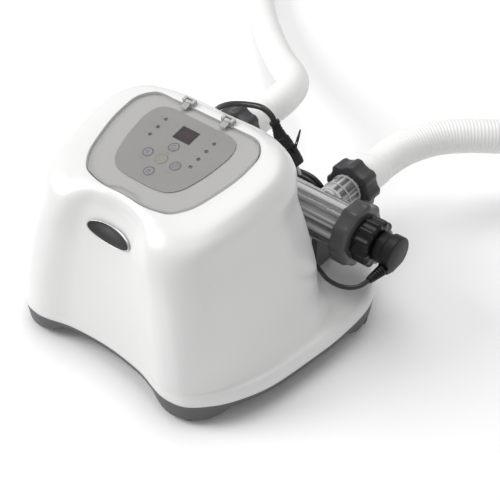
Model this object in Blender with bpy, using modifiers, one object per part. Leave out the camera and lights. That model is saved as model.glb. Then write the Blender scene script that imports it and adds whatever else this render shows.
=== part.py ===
"""Salt chlorine generator for an above-ground pool.

A domed white power and control unit on a dark base. A clear flow cell lies across the
shelf behind the dome, with two hose ports at the back and an electrode in its right end.

The unit frame has X = 0 on the dome's plane of symmetry, the front towards -Y, the hose
ports towards +Y and the floor at Z = 0. Every piece hangs under one empty, which moves
the middle of the unit's footprint to the world's origin.
"""
from math import atan2, cos, hypot, pi, radians, sin

import bmesh
import bpy
from mathutils import Matrix, Vector

MM = 0.001
GAP = 0.3                    # clearance between touching pieces, mm

# Driving dimensions, mm
FOOTPRINT_MIDDLE_Y = 62.7    # middle of the unit's footprint along Y
SEAM_Z = 30.0                # joint between the white shell and the base
BASE_FLOOR_Z = 21.0          # underside of the base between its feet
FOOT_BOSS_Z = 5.0            # underside of the base at its feet
WALL = 2.5                   # shell thickness
PANEL_HEIGHT = 233.3         # height of the panel plane under the middle button
PANEL_TILT = radians(13.5)   # the panel slopes down towards the front
HINGE_Y, HINGE_LIFT = 77.5, 2.9  # lid axis, in the panel plane and above it
KEY_PITCH = 19.9             # button spacing
KEY_R = 6.4
CELL_Y, CELL_Z = 157.0, 110.0    # axis of the flow cell
CELL_R, CELL_BORE_R = 28.0, 24.0
CELL_LEFT, CELL_RIGHT = -128.0, 142.0
PORT_X = 91.0                # the ports are at -PORT_X and +PORT_X
PORT_R, PORT_BORE_R = 20.0, 15.0
PORT_END_Y = 229.0
HOSE_R = 22.5
CORD_R = 3.5                 # mains lead
NUT_R = 32.5                 # over the lobes of a hose nut
CELL_CORD_R = 2.75
HANK_X, HANK_HALF, HANK_Y = 2.0, 66.0, 202.0
HANK_Z, HANK_HEIGHT, HANK_WIDTH = 44.0, 70.0, 15.0
HANK_TURN = radians(7.0)

# Half outlines of the white shell from the front middle round to the back middle:
# the first list is cut at heights, (height, points), the second at lifts over the
# panel plane, where each point is (across, along the slope, lift).
WALL_CUTS = [
    (30, [(0, -101), (52, -105), (106, -116), (121, -113), (147, -91), (170, -50), (185, 30),
          (189, 82), (181, 152), (143, 205), (0, 216)]),
    (33, [(0, -101), (52, -105), (106, -116), (121, -113), (147, -91), (170, -50), (185, 30),
          (189, 82), (181, 152), (143, 205), (0, 216)]),
    (37, [(0, -100.5), (52, -104.5), (105.5, -115.5), (120.5, -112), (145.5, -90), (168.5, -49),
          (183.5, 30), (187.5, 82), (179.5, 151), (142, 203.5), (0, 214.5)]),
    (42, [(0, -100), (52, -104), (104.5, -115), (119, -111), (143, -88.5), (164, -48), (178, 30),
          (182, 81), (174, 149), (139, 199), (0, 210)]),
    (44, [(0, -100), (52, -104), (104.3, -115), (118, -110), (141, -87), (159, -44), (170, 20),
          (169, 66), (154, 104), (110, 124), (0, 126)]),
    (54, [(0, -99), (52, -103), (102.8, -114.2), (117, -110), (139, -86), (155, -42), (163, 20),
          (162, 62), (147, 98), (106, 117), (0, 119)]),
    (100, [(0, -94), (47, -98), (95.1, -109.2), (111, -105.5), (133, -85), (147, -40), (153, 18),
           (150, 60), (137, 97), (98, 115), (0, 118)]),
    (150, [(0, -86.5), (40, -90), (81.9, -100.6), (98, -98.5), (122, -79), (136, -36), (142, 18),
           (139, 58), (124, 93), (87, 113), (0, 117)]),
    (185, [(0, -78.5), (34, -82), (68.7, -95), (87, -92.5), (113, -73), (128, -32), (134, 18),
           (131, 56), (114, 89), (80, 109), (0, 114)]),
]
TOP_CUTS = [
    [(0, -71, -13), (32, -76, -12), (62, -90, -11), (80, -88, -10), (108, -68, -9), (123, -30, -12),
     (130, 16, -16), (129, 52, -19), (110, 82, -22), (76, 100, -25), (0, 105, -27)],
    [(0, -67, -5), (30, -70.5, -4.5), (58, -79, -5), (74, -77, -4), (98, -60, -3), (112, -25, -3),
     (120, 17, -4), (119, 51, -5), (101, 78, -6), (68, 89, -7), (0, 90, -8)],
    [(0, -61, 0), (28, -63, 0), (52, -63, 0), (66, -58, 0), (80, -42, 0), (93, -14, 0), (99, 20, 0),
     (97, 50, 0), (83, 74, 0), (58, 82.5, 0), (0, 83, 0)],
]
# Half outlines in the panel plane, from the front middle round to the back middle
LID_OUTLINE = [(0, -53.5), (12, -54.5), (20, -58.5), (31, -59), (45, -57), (59, -52.5), (70.5, -41),
               (84, -5), (89.5, 33), (86.5, 58), (74, 71.5), (45, 74), (0, 74)]
RECESS_OUTLINE = [(0, -59), (12, -59.4), (20, -60), (31, -60), (45, -58), (59.8, -53.4), (71.5, -41.6),
                  (85.2, -5.2), (90.7, 33), (87.6, 58.6), (74.5, 72.6), (45, 75.2), (0, 75.2)]
OVERLAY_OUTLINE = [(0, -36.5), (20, -36), (36, -32.5), (46, -24), (55, -2), (60, 24), (60.5, 46),
                   (55, 58), (46, 62.6), (20, 63.8), (0, 64)]

PALETTE = {                  # name: colour, roughness, metallic, alpha
    "white_plastic": ((0.83, 0.83, 0.82), 0.32, 0, 1),
    "base_grey": ((0.13, 0.13, 0.14), 0.5, 0, 1),
    "panel_grey": ((0.45, 0.45, 0.44), 0.45, 0, 1),
    "keypad_grey": ((0.36, 0.36, 0.35), 0.45, 0, 1),
    "display_dark": ((0.045, 0.025, 0.03), 0.15, 0, 1),
    "button_grey": ((0.34, 0.33, 0.34), 0.45, 0, 1),
    "smoke_clear": ((0.35, 0.35, 0.36), 0.08, 0, 0.4),
    "lid_clear": ((0.6, 0.6, 0.6), 0.06, 0, 0.25),
    "nut_grey": ((0.07, 0.07, 0.075), 0.42, 0, 1),
    "cord_black": ((0.012, 0.012, 0.013), 0.4, 0, 1),
    "rubber": ((0.02, 0.02, 0.02), 0.75, 0, 1),
    "hose_white": ((0.8, 0.8, 0.79), 0.4, 0, 1),
    "badge_black": ((0.02, 0.02, 0.02), 0.25, 0, 1),
    "titanium": ((0.3, 0.3, 0.31), 0.4, 1, 1),
    "steel": ((0.6, 0.6, 0.6), 0.3, 1, 1),
    "board_green": ((0.02, 0.12, 0.06), 0.5, 0, 1),
    "coil_copper": ((0.5, 0.22, 0.08), 0.4, 1, 1),
}

for old in list(bpy.data.objects):
    bpy.data.objects.remove(old, do_unlink=True)
product = bpy.data.collections.new("salt_chlorine_generator")
cutters = bpy.data.collections.new("cutters")
for group in (product, cutters):
    bpy.context.scene.collection.children.link(group)
unit = bpy.data.objects.new("unit_frame", None)
unit.location = (0, -FOOTPRINT_MIDDLE_Y * MM, 0)
product.objects.link(unit)


def paint(obj, name):
    """Give an object its Principled material."""
    material = bpy.data.materials.get(name) or bpy.data.materials.new(name)
    material.use_nodes = True
    colour, roughness, metallic, alpha = PALETTE[name]
    shader = material.node_tree.nodes["Principled BSDF"]
    shader.inputs["Base Color"].default_value = (*colour, 1)
    shader.inputs["Roughness"].default_value = roughness
    shader.inputs["Metallic"].default_value = metallic
    shader.inputs["Alpha"].default_value = alpha
    obj.data.materials.clear()
    obj.data.materials.append(material)


def keep(obj, material, sharp=35):
    """Finish a piece: collection, parent, colour and shading."""
    for group in list(obj.users_collection):
        group.objects.unlink(obj)
    product.objects.link(obj)
    obj.parent = unit
    paint(obj, material)
    if obj.type == "MESH":
        obj.data.shade_smooth()
        obj.data.set_sharp_from_angle(angle=radians(sharp))
    return obj


def mesh_object(name, build):
    """A new object whose mesh is made by build(bm)."""
    bm = bmesh.new()
    build(bm)
    mesh = bpy.data.meshes.new(name)
    bm.to_mesh(mesh)
    bm.free()
    obj = bpy.data.objects.new(name, mesh)
    product.objects.link(obj)
    return obj


def as_mesh(curve):
    """Turn a curve object into a welded mesh object of the same name."""
    bpy.context.view_layer.update()
    evaluated = curve.evaluated_get(bpy.context.evaluated_depsgraph_get())
    mesh = bpy.data.meshes.new_from_object(evaluated)
    name = curve.name
    place = curve.matrix_world.copy()
    bpy.data.objects.remove(curve, do_unlink=True)
    bm = bmesh.new()
    bm.from_mesh(mesh)
    bmesh.ops.remove_doubles(bm, verts=bm.verts, dist=1e-6)
    bmesh.ops.recalc_face_normals(bm, faces=bm.faces)
    bm.to_mesh(mesh)
    bm.free()
    obj = bpy.data.objects.new(name, mesh)
    product.objects.link(obj)
    obj.matrix_world = place
    return obj


def boolean(obj, tool, operation):
    """Cut or join with a tool that stays as a hidden guide."""
    for group in list(tool.users_collection):
        group.objects.unlink(tool)
    cutters.objects.link(tool)
    tool.parent = unit
    tool.hide_render = True
    tool.display_type = "WIRE"
    step = obj.modifiers.new(f"{operation.lower()} {tool.name}", "BOOLEAN")
    step.object = tool
    step.operation = operation
    return obj


def smooth(points, steps, mirrored=False, closed=False):
    """Hermite curve through points, with `steps` pieces between neighbours.

    Tangents are weighted by the chords. A mirrored half outline meets its reflection
    in X squarely at both ends.
    """
    points = [Vector(p) for p in points]
    last = len(points) - 1

    def at(i):
        if 0 <= i <= last:
            return points[i]
        if closed:
            return points[i % len(points)]
        other = points[-i] if i < 0 else points[2 * last - i]
        if mirrored:
            return Vector((-other.x, *other[1:]))
        end = points[0] if i < 0 else points[last]
        return 2 * end - other

    result = []
    for i in range(last + (1 if closed else 0)):
        before, a, b, after = at(i - 1), at(i), at(i + 1), at(i + 2)
        lengths = [max((q - p).length, 1e-9) for p, q in ((before, a), (a, b), (b, after))]
        slope_a = ((a - before) / lengths[0] * lengths[1] + (b - a) / lengths[1] * lengths[0])
        slope_a *= lengths[1] / (lengths[0] + lengths[1])
        slope_b = ((b - a) / lengths[1] * lengths[2] + (after - b) / lengths[2] * lengths[1])
        slope_b *= lengths[1] / (lengths[1] + lengths[2])
        for k in range(steps):
            t = k / steps
            result.append((2 * t**3 - 3 * t**2 + 1) * a + (t**3 - 2 * t**2 + t) * slope_a
                          + (3 * t**2 - 2 * t**3) * b + (t**3 - t**2) * slope_b)
    if not closed:
        result.append(points[last])
    return result


def outline(half, steps):
    """Close a half outline with its mirror image in X."""
    right = smooth(half, steps, mirrored=True)
    return right + [Vector((-p.x, *p[1:])) for p in reversed(right[1:-1])]


def on_panel(x, y, lift=0.0):
    """A point of the sloping panel plane, in the unit frame, mm."""
    return Vector((x, y * cos(PANEL_TILT) - lift * sin(PANEL_TILT),
                   PANEL_HEIGHT + y * sin(PANEL_TILT) + lift * cos(PANEL_TILT)))


def loft(bm, rings, start=False, end=False):
    """Join closed rings of equal size with quads, and cap the ends asked for."""
    layers = [[bm.verts.new(p * MM) for p in ring] for ring in rings]
    for lower, upper in zip(layers, layers[1:]):
        for i, a in enumerate(lower):
            j = (i + 1) % len(lower)
            bm.faces.new((a, lower[j], upper[j], upper[i]))
    if start:
        bm.faces.new(reversed(layers[0]))
    if end:
        bm.faces.new(layers[-1])
    bm.normal_update()


def panel_plate(name, rims, low, high, holes=()):
    """A flat plate in the panel plane between two lifts, as a filled 2D curve."""
    curve = bpy.data.curves.new(name, "CURVE")
    curve.dimensions = "2D"
    curve.fill_mode = "BOTH"
    curve.extrude = (high - low) / 2 * MM
    for loop in [rims, *holes]:
        spline = curve.splines.new("POLY")
        spline.points.add(len(loop) - 1)
        for point, place in zip(spline.points, loop):
            point.co = (place[0] * MM, place[1] * MM, 0, 1)
        spline.use_cyclic_u = True
    obj = bpy.data.objects.new(name, curve)
    product.objects.link(obj)
    obj.location = on_panel(0, 0, (low + high) / 2) * MM
    obj.rotation_euler = (PANEL_TILT, 0, 0)
    return obj


def circle(x, y, radius, sides=20):
    return [(x + radius * cos(2 * pi * i / sides), y + radius * sin(2 * pi * i / sides))
            for i in range(sides)]


def rectangle(x, y, width, height):
    return [(x + sx * width / 2, y + sy * height / 2)
            for sx, sy in ((-1, -1), (1, -1), (1, 1), (-1, 1))]


def box(name, low, high):
    """A block between two corners, mm."""
    low, high = Vector(low), Vector(high)

    def build(bm):
        bmesh.ops.create_cube(bm, size=1)
        bmesh.ops.scale(bm, vec=(high - low) * MM, verts=bm.verts)
        bmesh.ops.translate(bm, vec=(low + high) / 2 * MM, verts=bm.verts)
    return mesh_object(name, build)


def rod(name, start, end, radius, tip_radius=None, sides=24):
    """A cylinder or a cone between two points, mm."""
    start, end = Vector(start), Vector(end)
    turn = (end - start).to_track_quat("Z", "Y").to_matrix().to_4x4()

    def build(bm):
        bmesh.ops.create_cone(bm, cap_ends=True, segments=sides, radius1=radius * MM,
                              radius2=(radius if tip_radius is None else tip_radius) * MM,
                              depth=(end - start).length * MM,
                              matrix=Matrix.Translation((start + end) / 2 * MM) @ turn)
    return mesh_object(name, build)


FLUTED = 3.0                 # how far in from the rim the scallops reach, mm


def turned(name, centre, axis, profile, sides=32, flutes=0, depth=0.0):
    """A body turned about an axis from (distance along, radius) points round its section.

    With flutes, the points within FLUTED of the largest radius are drawn in by scallops.
    """
    turn = Vector(axis).to_track_quat("Z", "Y").to_matrix()
    widest = max(radius for _, radius in profile)

    def build(bm):
        rings = []
        for along, radius in profile:
            ring = []
            for i in range(sides):
                angle = 2 * pi * i / sides
                drawn = depth * (0.5 - 0.5 * cos(flutes * angle)) if radius > widest - FLUTED else 0
                spot = Vector(((radius - drawn) * cos(angle), (radius - drawn) * sin(angle), along))
                ring.append(Vector(centre) + turn @ spot)
            rings.append(ring)
        loft(bm, rings + [rings[0]])
        bmesh.ops.remove_doubles(bm, verts=bm.verts, dist=1e-7)
        bmesh.ops.recalc_face_normals(bm, faces=bm.faces)
    return mesh_object(name, build)


def tube(name, points, radius, spacing, resolution=2):
    """A cord or hose as a POLY spline along the smooth curve through points.

    Its first and last pieces stay straight, and the rest is divided evenly.
    """
    fine = smooth(points, 24)[24:-24]
    lengths = [0.0]
    for a, b in zip(fine, fine[1:]):
        lengths.append(lengths[-1] + (b - a).length)
    count = max(2, round(lengths[-1] / spacing))
    route = [Vector(points[0])]
    k = 0
    for i in range(count + 1):
        target = lengths[-1] * i / count
        while k < len(fine) - 2 and lengths[k + 1] < target:
            k += 1
        share = (target - lengths[k]) / (lengths[k + 1] - lengths[k])
        route.append(fine[k].lerp(fine[k + 1], min(share, 1)))
    route.append(Vector(points[-1]))
    curve = bpy.data.curves.new(name, "CURVE")
    curve.dimensions = "3D"
    curve.bevel_depth = radius * MM
    curve.bevel_resolution = resolution
    curve.use_fill_caps = True
    spline = curve.splines.new("POLY")
    spline.points.add(len(route) - 1)
    for point, place in zip(spline.points, route):
        point.co = (*(place * MM), 1)
    obj = bpy.data.objects.new(name, curve)
    product.objects.link(obj)
    return obj


# Base and feet ------------------------------------------------------------------------
FEET = [(118, -95), (171, 141)]


def base_underside(x, y):
    """Height of the base's lower edge: high between the feet, low at each foot."""
    lowest = BASE_FLOOR_Z + 1
    for foot_x, foot_y in FEET:
        away = hypot(abs(x) - foot_x, y - foot_y)
        rise = min(max((away - 22) / 34, 0), 1)
        rise = rise * rise * (3 - 2 * rise)
        lowest = min(lowest, FOOT_BOSS_Z + (BASE_FLOOR_Z + 1 - FOOT_BOSS_Z) * rise)
    return lowest


def towards_middle(point, distance, z):
    """Move a rim point inwards, to a new height."""
    inward = Vector((0, 45, 0)) - Vector((point.x, point.y, 0))
    moved = Vector((point.x, point.y, 0)) + inward.normalized() * distance
    return Vector((moved.x, moved.y, z))


def make_base(name="base_tray"):
    rim = outline([(*p, 0) for p in WALL_CUTS[0][1]], 4)
    rings = [
        [towards_middle(p, 40, BASE_FLOOR_Z) for p in rim],
        [towards_middle(p, 34, base_underside(p.x, p.y)) for p in rim],
        [towards_middle(p, 3.5, base_underside(p.x, p.y)) for p in rim],
        [towards_middle(p, 0.6, SEAM_Z - 5) for p in rim],
        [towards_middle(p, 0.4, SEAM_Z - GAP) for p in rim],
    ]
    return mesh_object(name, lambda bm: loft(bm, rings, start=True, end=True))


keep(make_base(), "base_grey")
for label, side_x, foot in (("front_left", -1, FEET[0]), ("front_right", 1, FEET[0]),
                            ("rear_left", -1, FEET[1]), ("rear_right", 1, FEET[1])):
    keep(rod(f"foot_{label}", (side_x * foot[0], foot[1], 0),
             (side_x * foot[0], foot[1], FOOT_BOSS_Z - GAP), 9.5, 10.5), "rubber")

# White shell --------------------------------------------------------------------------
CUT_STEPS = 3


def shell_rings(steps):
    rings = [outline([(x, y, z) for x, y in half], steps) for z, half in WALL_CUTS]
    for half in TOP_CUTS:
        rings.append([on_panel(*p) for p in outline(half, steps)])
    return rings


def recess_rings(directions):
    """The lid's recess: wall and ledge, walked at the same pace as the shell's rings."""
    mouth = resample(outline([(x, y, 0) for x, y in RECESS_OUTLINE], 6), directions)
    rings = []
    for shrink, lift in ((0, -0.2), (0, -7.0), (9.0, -7.0)):
        rings.append([on_panel(*inset(p, shrink), lift) for p in mouth])
    return rings


def inset(point, distance):
    """Move a panel point towards the panel's middle."""
    middle = Vector((0, 10))
    flat = Vector((point.x, point.y))
    return flat + (middle - flat).normalized() * distance


def resample(loop, directions):
    """Points of a closed loop along given directions from the panel's middle."""
    middle = Vector((0, 10))
    angles = [atan2(p.y - middle.y, p.x - middle.x) for p in loop]
    result = []
    for direction in directions:
        for i, angle in enumerate(angles):
            j = (i + 1) % len(loop)
            step = (angles[j] - angle) % (2 * pi)
            ahead = (direction - angle) % (2 * pi)
            if step < pi and ahead <= step:
                result.append(loop[i].lerp(loop[j], ahead / step if step else 0))
                break
    return result


def make_shell(name="housing_shell"):
    rings = shell_rings(CUT_STEPS)
    rim = outline(TOP_CUTS[-1], CUT_STEPS)
    directions = [atan2(p.y - 10, p.x) for p in rim]
    rings += recess_rings(directions)
    shell = mesh_object(name, lambda bm: loft(bm, rings))
    thickness = shell.modifiers.new("wall", "SOLIDIFY")
    thickness.thickness = WALL * MM
    thickness.offset = -1
    return shell


keep(make_shell(), "white_plastic")

# Control panel ------------------------------------------------------------------------
KEYS = {"power_button": (0, 0), "boost_button": (-1, 0), "timer_button": (1, 0),
        "self_clean_button": (0, 1), "lock_button": (0, -1)}
key_places = {name: (i * KEY_PITCH, j * KEY_PITCH) for name, (i, j) in KEYS.items()}
key_holes = [circle(x, y, KEY_R + GAP) for x, y in key_places.values()]
DISPLAY = (0, 40, 24, 19)
bezel_rim = [(x * 0.978, 8 + (y - 8) * 0.975) for x, y, _ in
             outline([(x, y, 0) for x, y in RECESS_OUTLINE], 3)]
keep(panel_plate("panel_bezel", bezel_rim, -6.7, -2.3, key_holes), "panel_grey")
display_hole = rectangle(*DISPLAY)
overlay_rim = outline([(x, y, 0) for x, y in OVERLAY_OUTLINE], 3)
keep(panel_plate("keypad_overlay", overlay_rim, -2.0, -1.2, key_holes + [display_hole]),
     "keypad_grey")
keep(panel_plate("display_window", rectangle(0, 40, 23.4, 18.4), -2.0, -0.9), "display_dark")
for name, (x, y) in key_places.items():
    key = mesh_object(name, lambda bm: bmesh.ops.create_cone(
        bm, cap_ends=True, segments=20, radius1=KEY_R * MM, radius2=KEY_R * MM, depth=3.4 * MM))
    key.location = on_panel(x, y, -2.5) * MM
    key.rotation_euler = (PANEL_TILT, 0, 0)
    keep(key, "button_grey")

# Lid and its hinges -------------------------------------------------------------------
HINGE_X = 28.0
lid = as_mesh(panel_plate("lid", outline([(x, y, 0) for x, y in LID_OUTLINE], 3), -0.6, 2.2))
for side in (-1, 1):
    x = side * HINGE_X
    tongue = panel_plate(f"lid_tongue_{side}", rectangle(x, 74.6, 7.6, 5.6), 0.8, 2.1)
    boolean(lid, as_mesh(tongue), "UNION")
    boolean(lid, rod(f"lid_knuckle_{side}", on_panel(x - 3.9, HINGE_Y, HINGE_LIFT),
                     on_panel(x + 3.9, HINGE_Y, HINGE_LIFT), 2.3, sides=16), "UNION")
    boolean(lid, rod(f"lid_bore_{side}", on_panel(x - 9, HINGE_Y, HINGE_LIFT),
                     on_panel(x + 9, HINGE_Y, HINGE_LIFT), 1.4, sides=16), "DIFFERENCE")
keep(lid, "lid_clear")
for label, side in (("left", -1), ("right", 1)):
    x = side * HINGE_X
    yoke = [(x - 8, 75.5), (x - 4.4, 75.5), (x - 4.4, 80.4), (x + 4.4, 80.4), (x + 4.4, 75.5),
            (x + 8, 75.5), (x + 8, 82), (x - 8, 82)]
    bracket = as_mesh(panel_plate(f"hinge_bracket_{label}", yoke, 0.3, 5.6))
    boolean(bracket, rod(f"bracket_bore_{label}", on_panel(x - 12, HINGE_Y, HINGE_LIFT),
                         on_panel(x + 12, HINGE_Y, HINGE_LIFT), 1.3, sides=16), "DIFFERENCE")
    keep(bracket, "panel_grey")
    keep(rod(f"hinge_pin_{label}", on_panel(x - 8.6, HINGE_Y, HINGE_LIFT),
             on_panel(x + 8.6, HINGE_Y, HINGE_LIFT), 1.0, sides=16), "steel")

# Badge --------------------------------------------------------------------------------
BADGE_HALF = (31.5, 11.0)
BADGE_Z = 181.0


def front_face_y(x, z):
    """Where the concave front of the shell is, from the cuts above and below z."""
    cuts = [(height, half) for height, half in WALL_CUTS if height >= 100]
    for (low, half_low), (high, half_high) in zip(cuts, cuts[1:]):
        if z <= high or high == cuts[-1][0]:
            share = (z - low) / (high - low)
            return sum(weight * front_of_cut(half, x)
                       for weight, half in ((1 - share, half_low), (share, half_high)))


def front_of_cut(half, x):
    line = smooth([(px, py, 0) for px, py in half], 8, mirrored=True)
    for a, b in zip(line, line[1:]):
        if a.x <= abs(x) <= b.x:
            return a.y + (b.y - a.y) * (abs(x) - a.x) / max(b.x - a.x, 1e-9)
    return line[0].y


def make_badge(name="badge_plate", rings=4, sides=28):
    def build(bm):
        middle = bm.verts.new(Vector((0, front_face_y(0, BADGE_Z) - 1.4, BADGE_Z)) * MM)
        layers = []
        for k in range(1, rings + 1):
            layer = []
            for i in range(sides):
                angle = 2 * pi * i / sides
                x = BADGE_HALF[0] * k / rings * cos(angle)
                z = BADGE_Z + BADGE_HALF[1] * k / rings * sin(angle)
                layer.append(bm.verts.new(Vector((x, front_face_y(x, z) - 1.4, z)) * MM))
            layers.append(layer)
        for i in range(sides):
            j = (i + 1) % sides
            bm.faces.new((middle, layers[0][i], layers[0][j]))
            for inner, outer in zip(layers, layers[1:]):
                bm.faces.new((inner[i], outer[i], outer[j], inner[j]))
    badge = mesh_object(name, build)
    thickness = badge.modifiers.new("plate", "SOLIDIFY")
    thickness.thickness = 2.0 * MM
    thickness.offset = 1
    return badge


keep(make_badge(), "badge_black")

# Inside the housing -------------------------------------------------------------------
keep(panel_plate("control_board", rectangle(0, 12, 120, 84), -16.6, -15.0), "board_green")
keep(box("power_board", (-95, -60, 48), (-5, 40, 50)), "board_green")
keep(turned("transformer", (55, 0, 34), (0, 0, 1),
            [(0, 14), (0, 40), (40, 40), (40, 14)], sides=28), "coil_copper")

# Flow cell ----------------------------------------------------------------------------
cell = rod("cell_tube", (CELL_LEFT, CELL_Y, CELL_Z), (CELL_RIGHT, CELL_Y, CELL_Z), CELL_R, sides=32)
boolean(cell, rod("cell_flange", (CELL_RIGHT - 5, CELL_Y, CELL_Z),
                  (CELL_RIGHT + 1, CELL_Y, CELL_Z), 33, sides=32), "UNION")
for side in (-1, 1):
    boolean(cell, rod(f"port_{side}", (side * PORT_X, CELL_Y, CELL_Z),
                      (side * PORT_X, PORT_END_Y, CELL_Z), PORT_R), "UNION")
boolean(cell, rod("cell_bore", (CELL_LEFT + 4, CELL_Y, CELL_Z),
                  (CELL_RIGHT + 9, CELL_Y, CELL_Z), CELL_BORE_R, sides=32), "DIFFERENCE")
for side in (-1, 1):
    boolean(cell, rod(f"port_bore_{side}", (side * PORT_X, CELL_Y, CELL_Z),
                      (side * PORT_X, PORT_END_Y + 9, CELL_Z), PORT_BORE_R), "DIFFERENCE")
keep(cell, "smoke_clear")


def make_plates(name="electrode_plates", plates=5, pitch=6.4, thickness=1.6):
    """A comb of thin plates under one backbone, running along the cell."""
    comb = [(-14.6, 17), (-14.6, 14)]
    for i in range(plates):
        y = (i - (plates - 1) / 2) * pitch
        comb += [(y - thickness / 2, 14), (y - thickness / 2, -16), (y + thickness / 2, -16),
                 (y + thickness / 2, 14)]
    comb += [(14.6, 14), (14.6, 17)]
    left, right = -60.0, 122.0

    def build(bm):
        rings = [[Vector((x, CELL_Y + y, CELL_Z + z)) for y, z in comb] for x in (left, right)]
        loft(bm, rings, start=True, end=True)
        bmesh.ops.recalc_face_normals(bm, faces=bm.faces)
    return mesh_object(name, build)


keep(make_plates(), "titanium")
CELL_END = (CELL_RIGHT + 1, CELL_Y, CELL_Z)      # the flange's face, where the electrode seats
keep(turned("electrode_head", CELL_END, (1, 0, 0),
            [(-20, 0.01), (-20, 23.3), (0.4, 23.3), (0.4, 32.6), (5, 32.6), (5, 19.8), (33, 19.8),
             (33, 0.01)]), "nut_grey")
keep(turned("electrode_collar", CELL_END, (1, 0, 0),
            [(-7.5, 33.5), (-7.5, 38.5), (-6, 39.5), (11, 39.5), (13.5, 37.5), (14, 24), (9, 24),
             (9, 33.5)], sides=60, flutes=10, depth=1.6), "smoke_clear")
keep(turned("electrode_cap", CELL_END, (1, 0, 0),
            [(17, 20.4), (17, 28.7), (34, 28.7), (37, 26.5), (37, 10), (33.6, 10), (33.6, 20.4)],
            sides=60, flutes=12, depth=1.8), "cord_black")

# Electrode plug and its lead ------------------------------------------------------------
PLUG_X = CELL_RIGHT + 1 + 37 + GAP
plug = rod("connector_plug", (PLUG_X, CELL_Y, CELL_Z), (PLUG_X + 14, CELL_Y, CELL_Z), 18.5,
           sides=28)


def plug_head(bm):
    """D-shaped head: round, with one corner drawn out to the lead."""
    shape = []
    for i in range(20):
        angle = radians(-60) + i * radians(270) / 19
        shape.append((21 * cos(angle), 21 * sin(angle)))
    shape += [(-21, -9), (-19.5, -17), (-8, -20.5)]
    rings = [[Vector((x, CELL_Y + y, CELL_Z + z)) for y, z in shape]
             for x in (PLUG_X + 12, PLUG_X + 25.5)]
    loft(bm, rings, start=True, end=True)
    bmesh.ops.recalc_face_normals(bm, faces=bm.faces)


boolean(plug, mesh_object("plug_head", plug_head), "UNION")
keep(plug, "cord_black")
RELIEF_AXIS = Vector((-0.09, -1, -0.05)).normalized()
RELIEF_TOP = Vector((199, 135.3, 98))
RELIEF_END = RELIEF_TOP + RELIEF_AXIS * 22
keep(rod("connector_strain_relief", RELIEF_TOP, RELIEF_END, 6.6, 4.4, sides=16), "cord_black")
CELL_LEAD = [RELIEF_END + RELIEF_AXIS * GAP, RELIEF_END + RELIEF_AXIS * 3.5, (194, 100.2, 95.8),
             (186.9, 92.9, 94.4), (176.7, 90, 92.8), (158, 92.5, 89.5), (140, 102, 86),
             (122, 113.5, 82), (104, 122.5, 79), (90, 126, 77.5), (72.4, 126, 77)]
keep(tube("cell_cord", CELL_LEAD, CELL_CORD_R, 7.0), "cord_black")
keep(box("cell_cord_gland", (50, 122, 70), (72, 132, 84)), "cord_black")

# Cell cradles stand on the shelf ---------------------------------------------------------
for label, x in (("left", -107.0), ("right", 99.0)):
    cradle = box(f"cell_cradle_{label}", (x, 139, 44.6), (x + 8, 175, 96))
    boolean(cradle, rod(f"cradle_saddle_{label}", (x - 5, CELL_Y, CELL_Z), (x + 13, CELL_Y, CELL_Z),
                        CELL_R + GAP, sides=32), "DIFFERENCE")
    keep(cradle, "base_grey")

# Hose unions, seals, hose tails and hoses --------------------------------------------------
NUT_PROFILE = [(0, 21), (0, NUT_R - 1.5), (1.5, NUT_R), (22, NUT_R), (24, NUT_R - 2), (24, 18.8),
               (19.5, 18.8), (19.5, 21.6), (10, 21.6), (10, 21)]
CUFF_PROFILE = [(0, 15), (0, 21), (3, 21), (3, 18), (9, 18), (9, 23.4), (42, 23), (42, 15)]


def union_set(nut_name, cuff_name, point, axis):
    """A hose nut and the hose tail that it holds, from the joint's sealing face outwards."""
    axis = Vector(axis).normalized()
    point = Vector(point)
    nut = turned(nut_name, point - 16 * axis, axis, NUT_PROFILE, sides=64, flutes=8, depth=3.2)
    keep(nut, "nut_grey")
    cuff = turned(cuff_name, point, axis, CUFF_PROFILE, sides=28)
    keep(cuff, "hose_white")


# Each hose in plan, from its tail outwards: (length of a leg, how far it turns left)
HOSE_LEGS = {
    "left": [(13.6, 0), (135, 51), (345, -8), (440, -133), (12, 0)],
    "right": [(13.6, 0), (120, -46), (315, 8), (430, 128), (12, 0)],
}
# Height of each hose's middle at distances along it
HOSE_HEIGHTS = {
    "left": [(0, 110), (16, 110), (60, 106.5), (110, 95), (210, 69), (300, 51), (400, 34), (480, 25),
             (560, 24), (740, 24), (850, 29), (908, 33.4), (930, 33.4), (960, 33.4)],
    "right": [(0, 110), (16, 110.1), (60, 111.8), (125, 113), (180, 109.5), (250, 96), (330, 72),
              (410, 47), (490, 29), (560, 24), (690, 24), (796, 29), (854, 33.4), (876, 33.4), (960, 33.4)],
}
LEG_STEP = 30.0


def hose_route(label, start):
    """Points along a hose, from its legs in plan and its heights."""
    heights = smooth([(along, z, 0) for along, z in HOSE_HEIGHTS[label]], 6)
    x, y, _ = start
    heading, travelled = pi / 2, 0.0
    route = [Vector(start)]
    for length, turn in HOSE_LEGS[label]:
        steps = max(1, round(length / LEG_STEP))
        for _ in range(steps):
            heading += radians(turn) / steps / 2
            x += cos(heading) * length / steps
            y += sin(heading) * length / steps
            heading += radians(turn) / steps / 2
            travelled += length / steps
            for a, b in zip(heights, heights[1:]):
                if a.x <= travelled <= b.x:
                    z = a.y + (b.y - a.y) * (travelled - a.x) / (b.x - a.x)
            route.append(Vector((x, y, z)))
    return route


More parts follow.
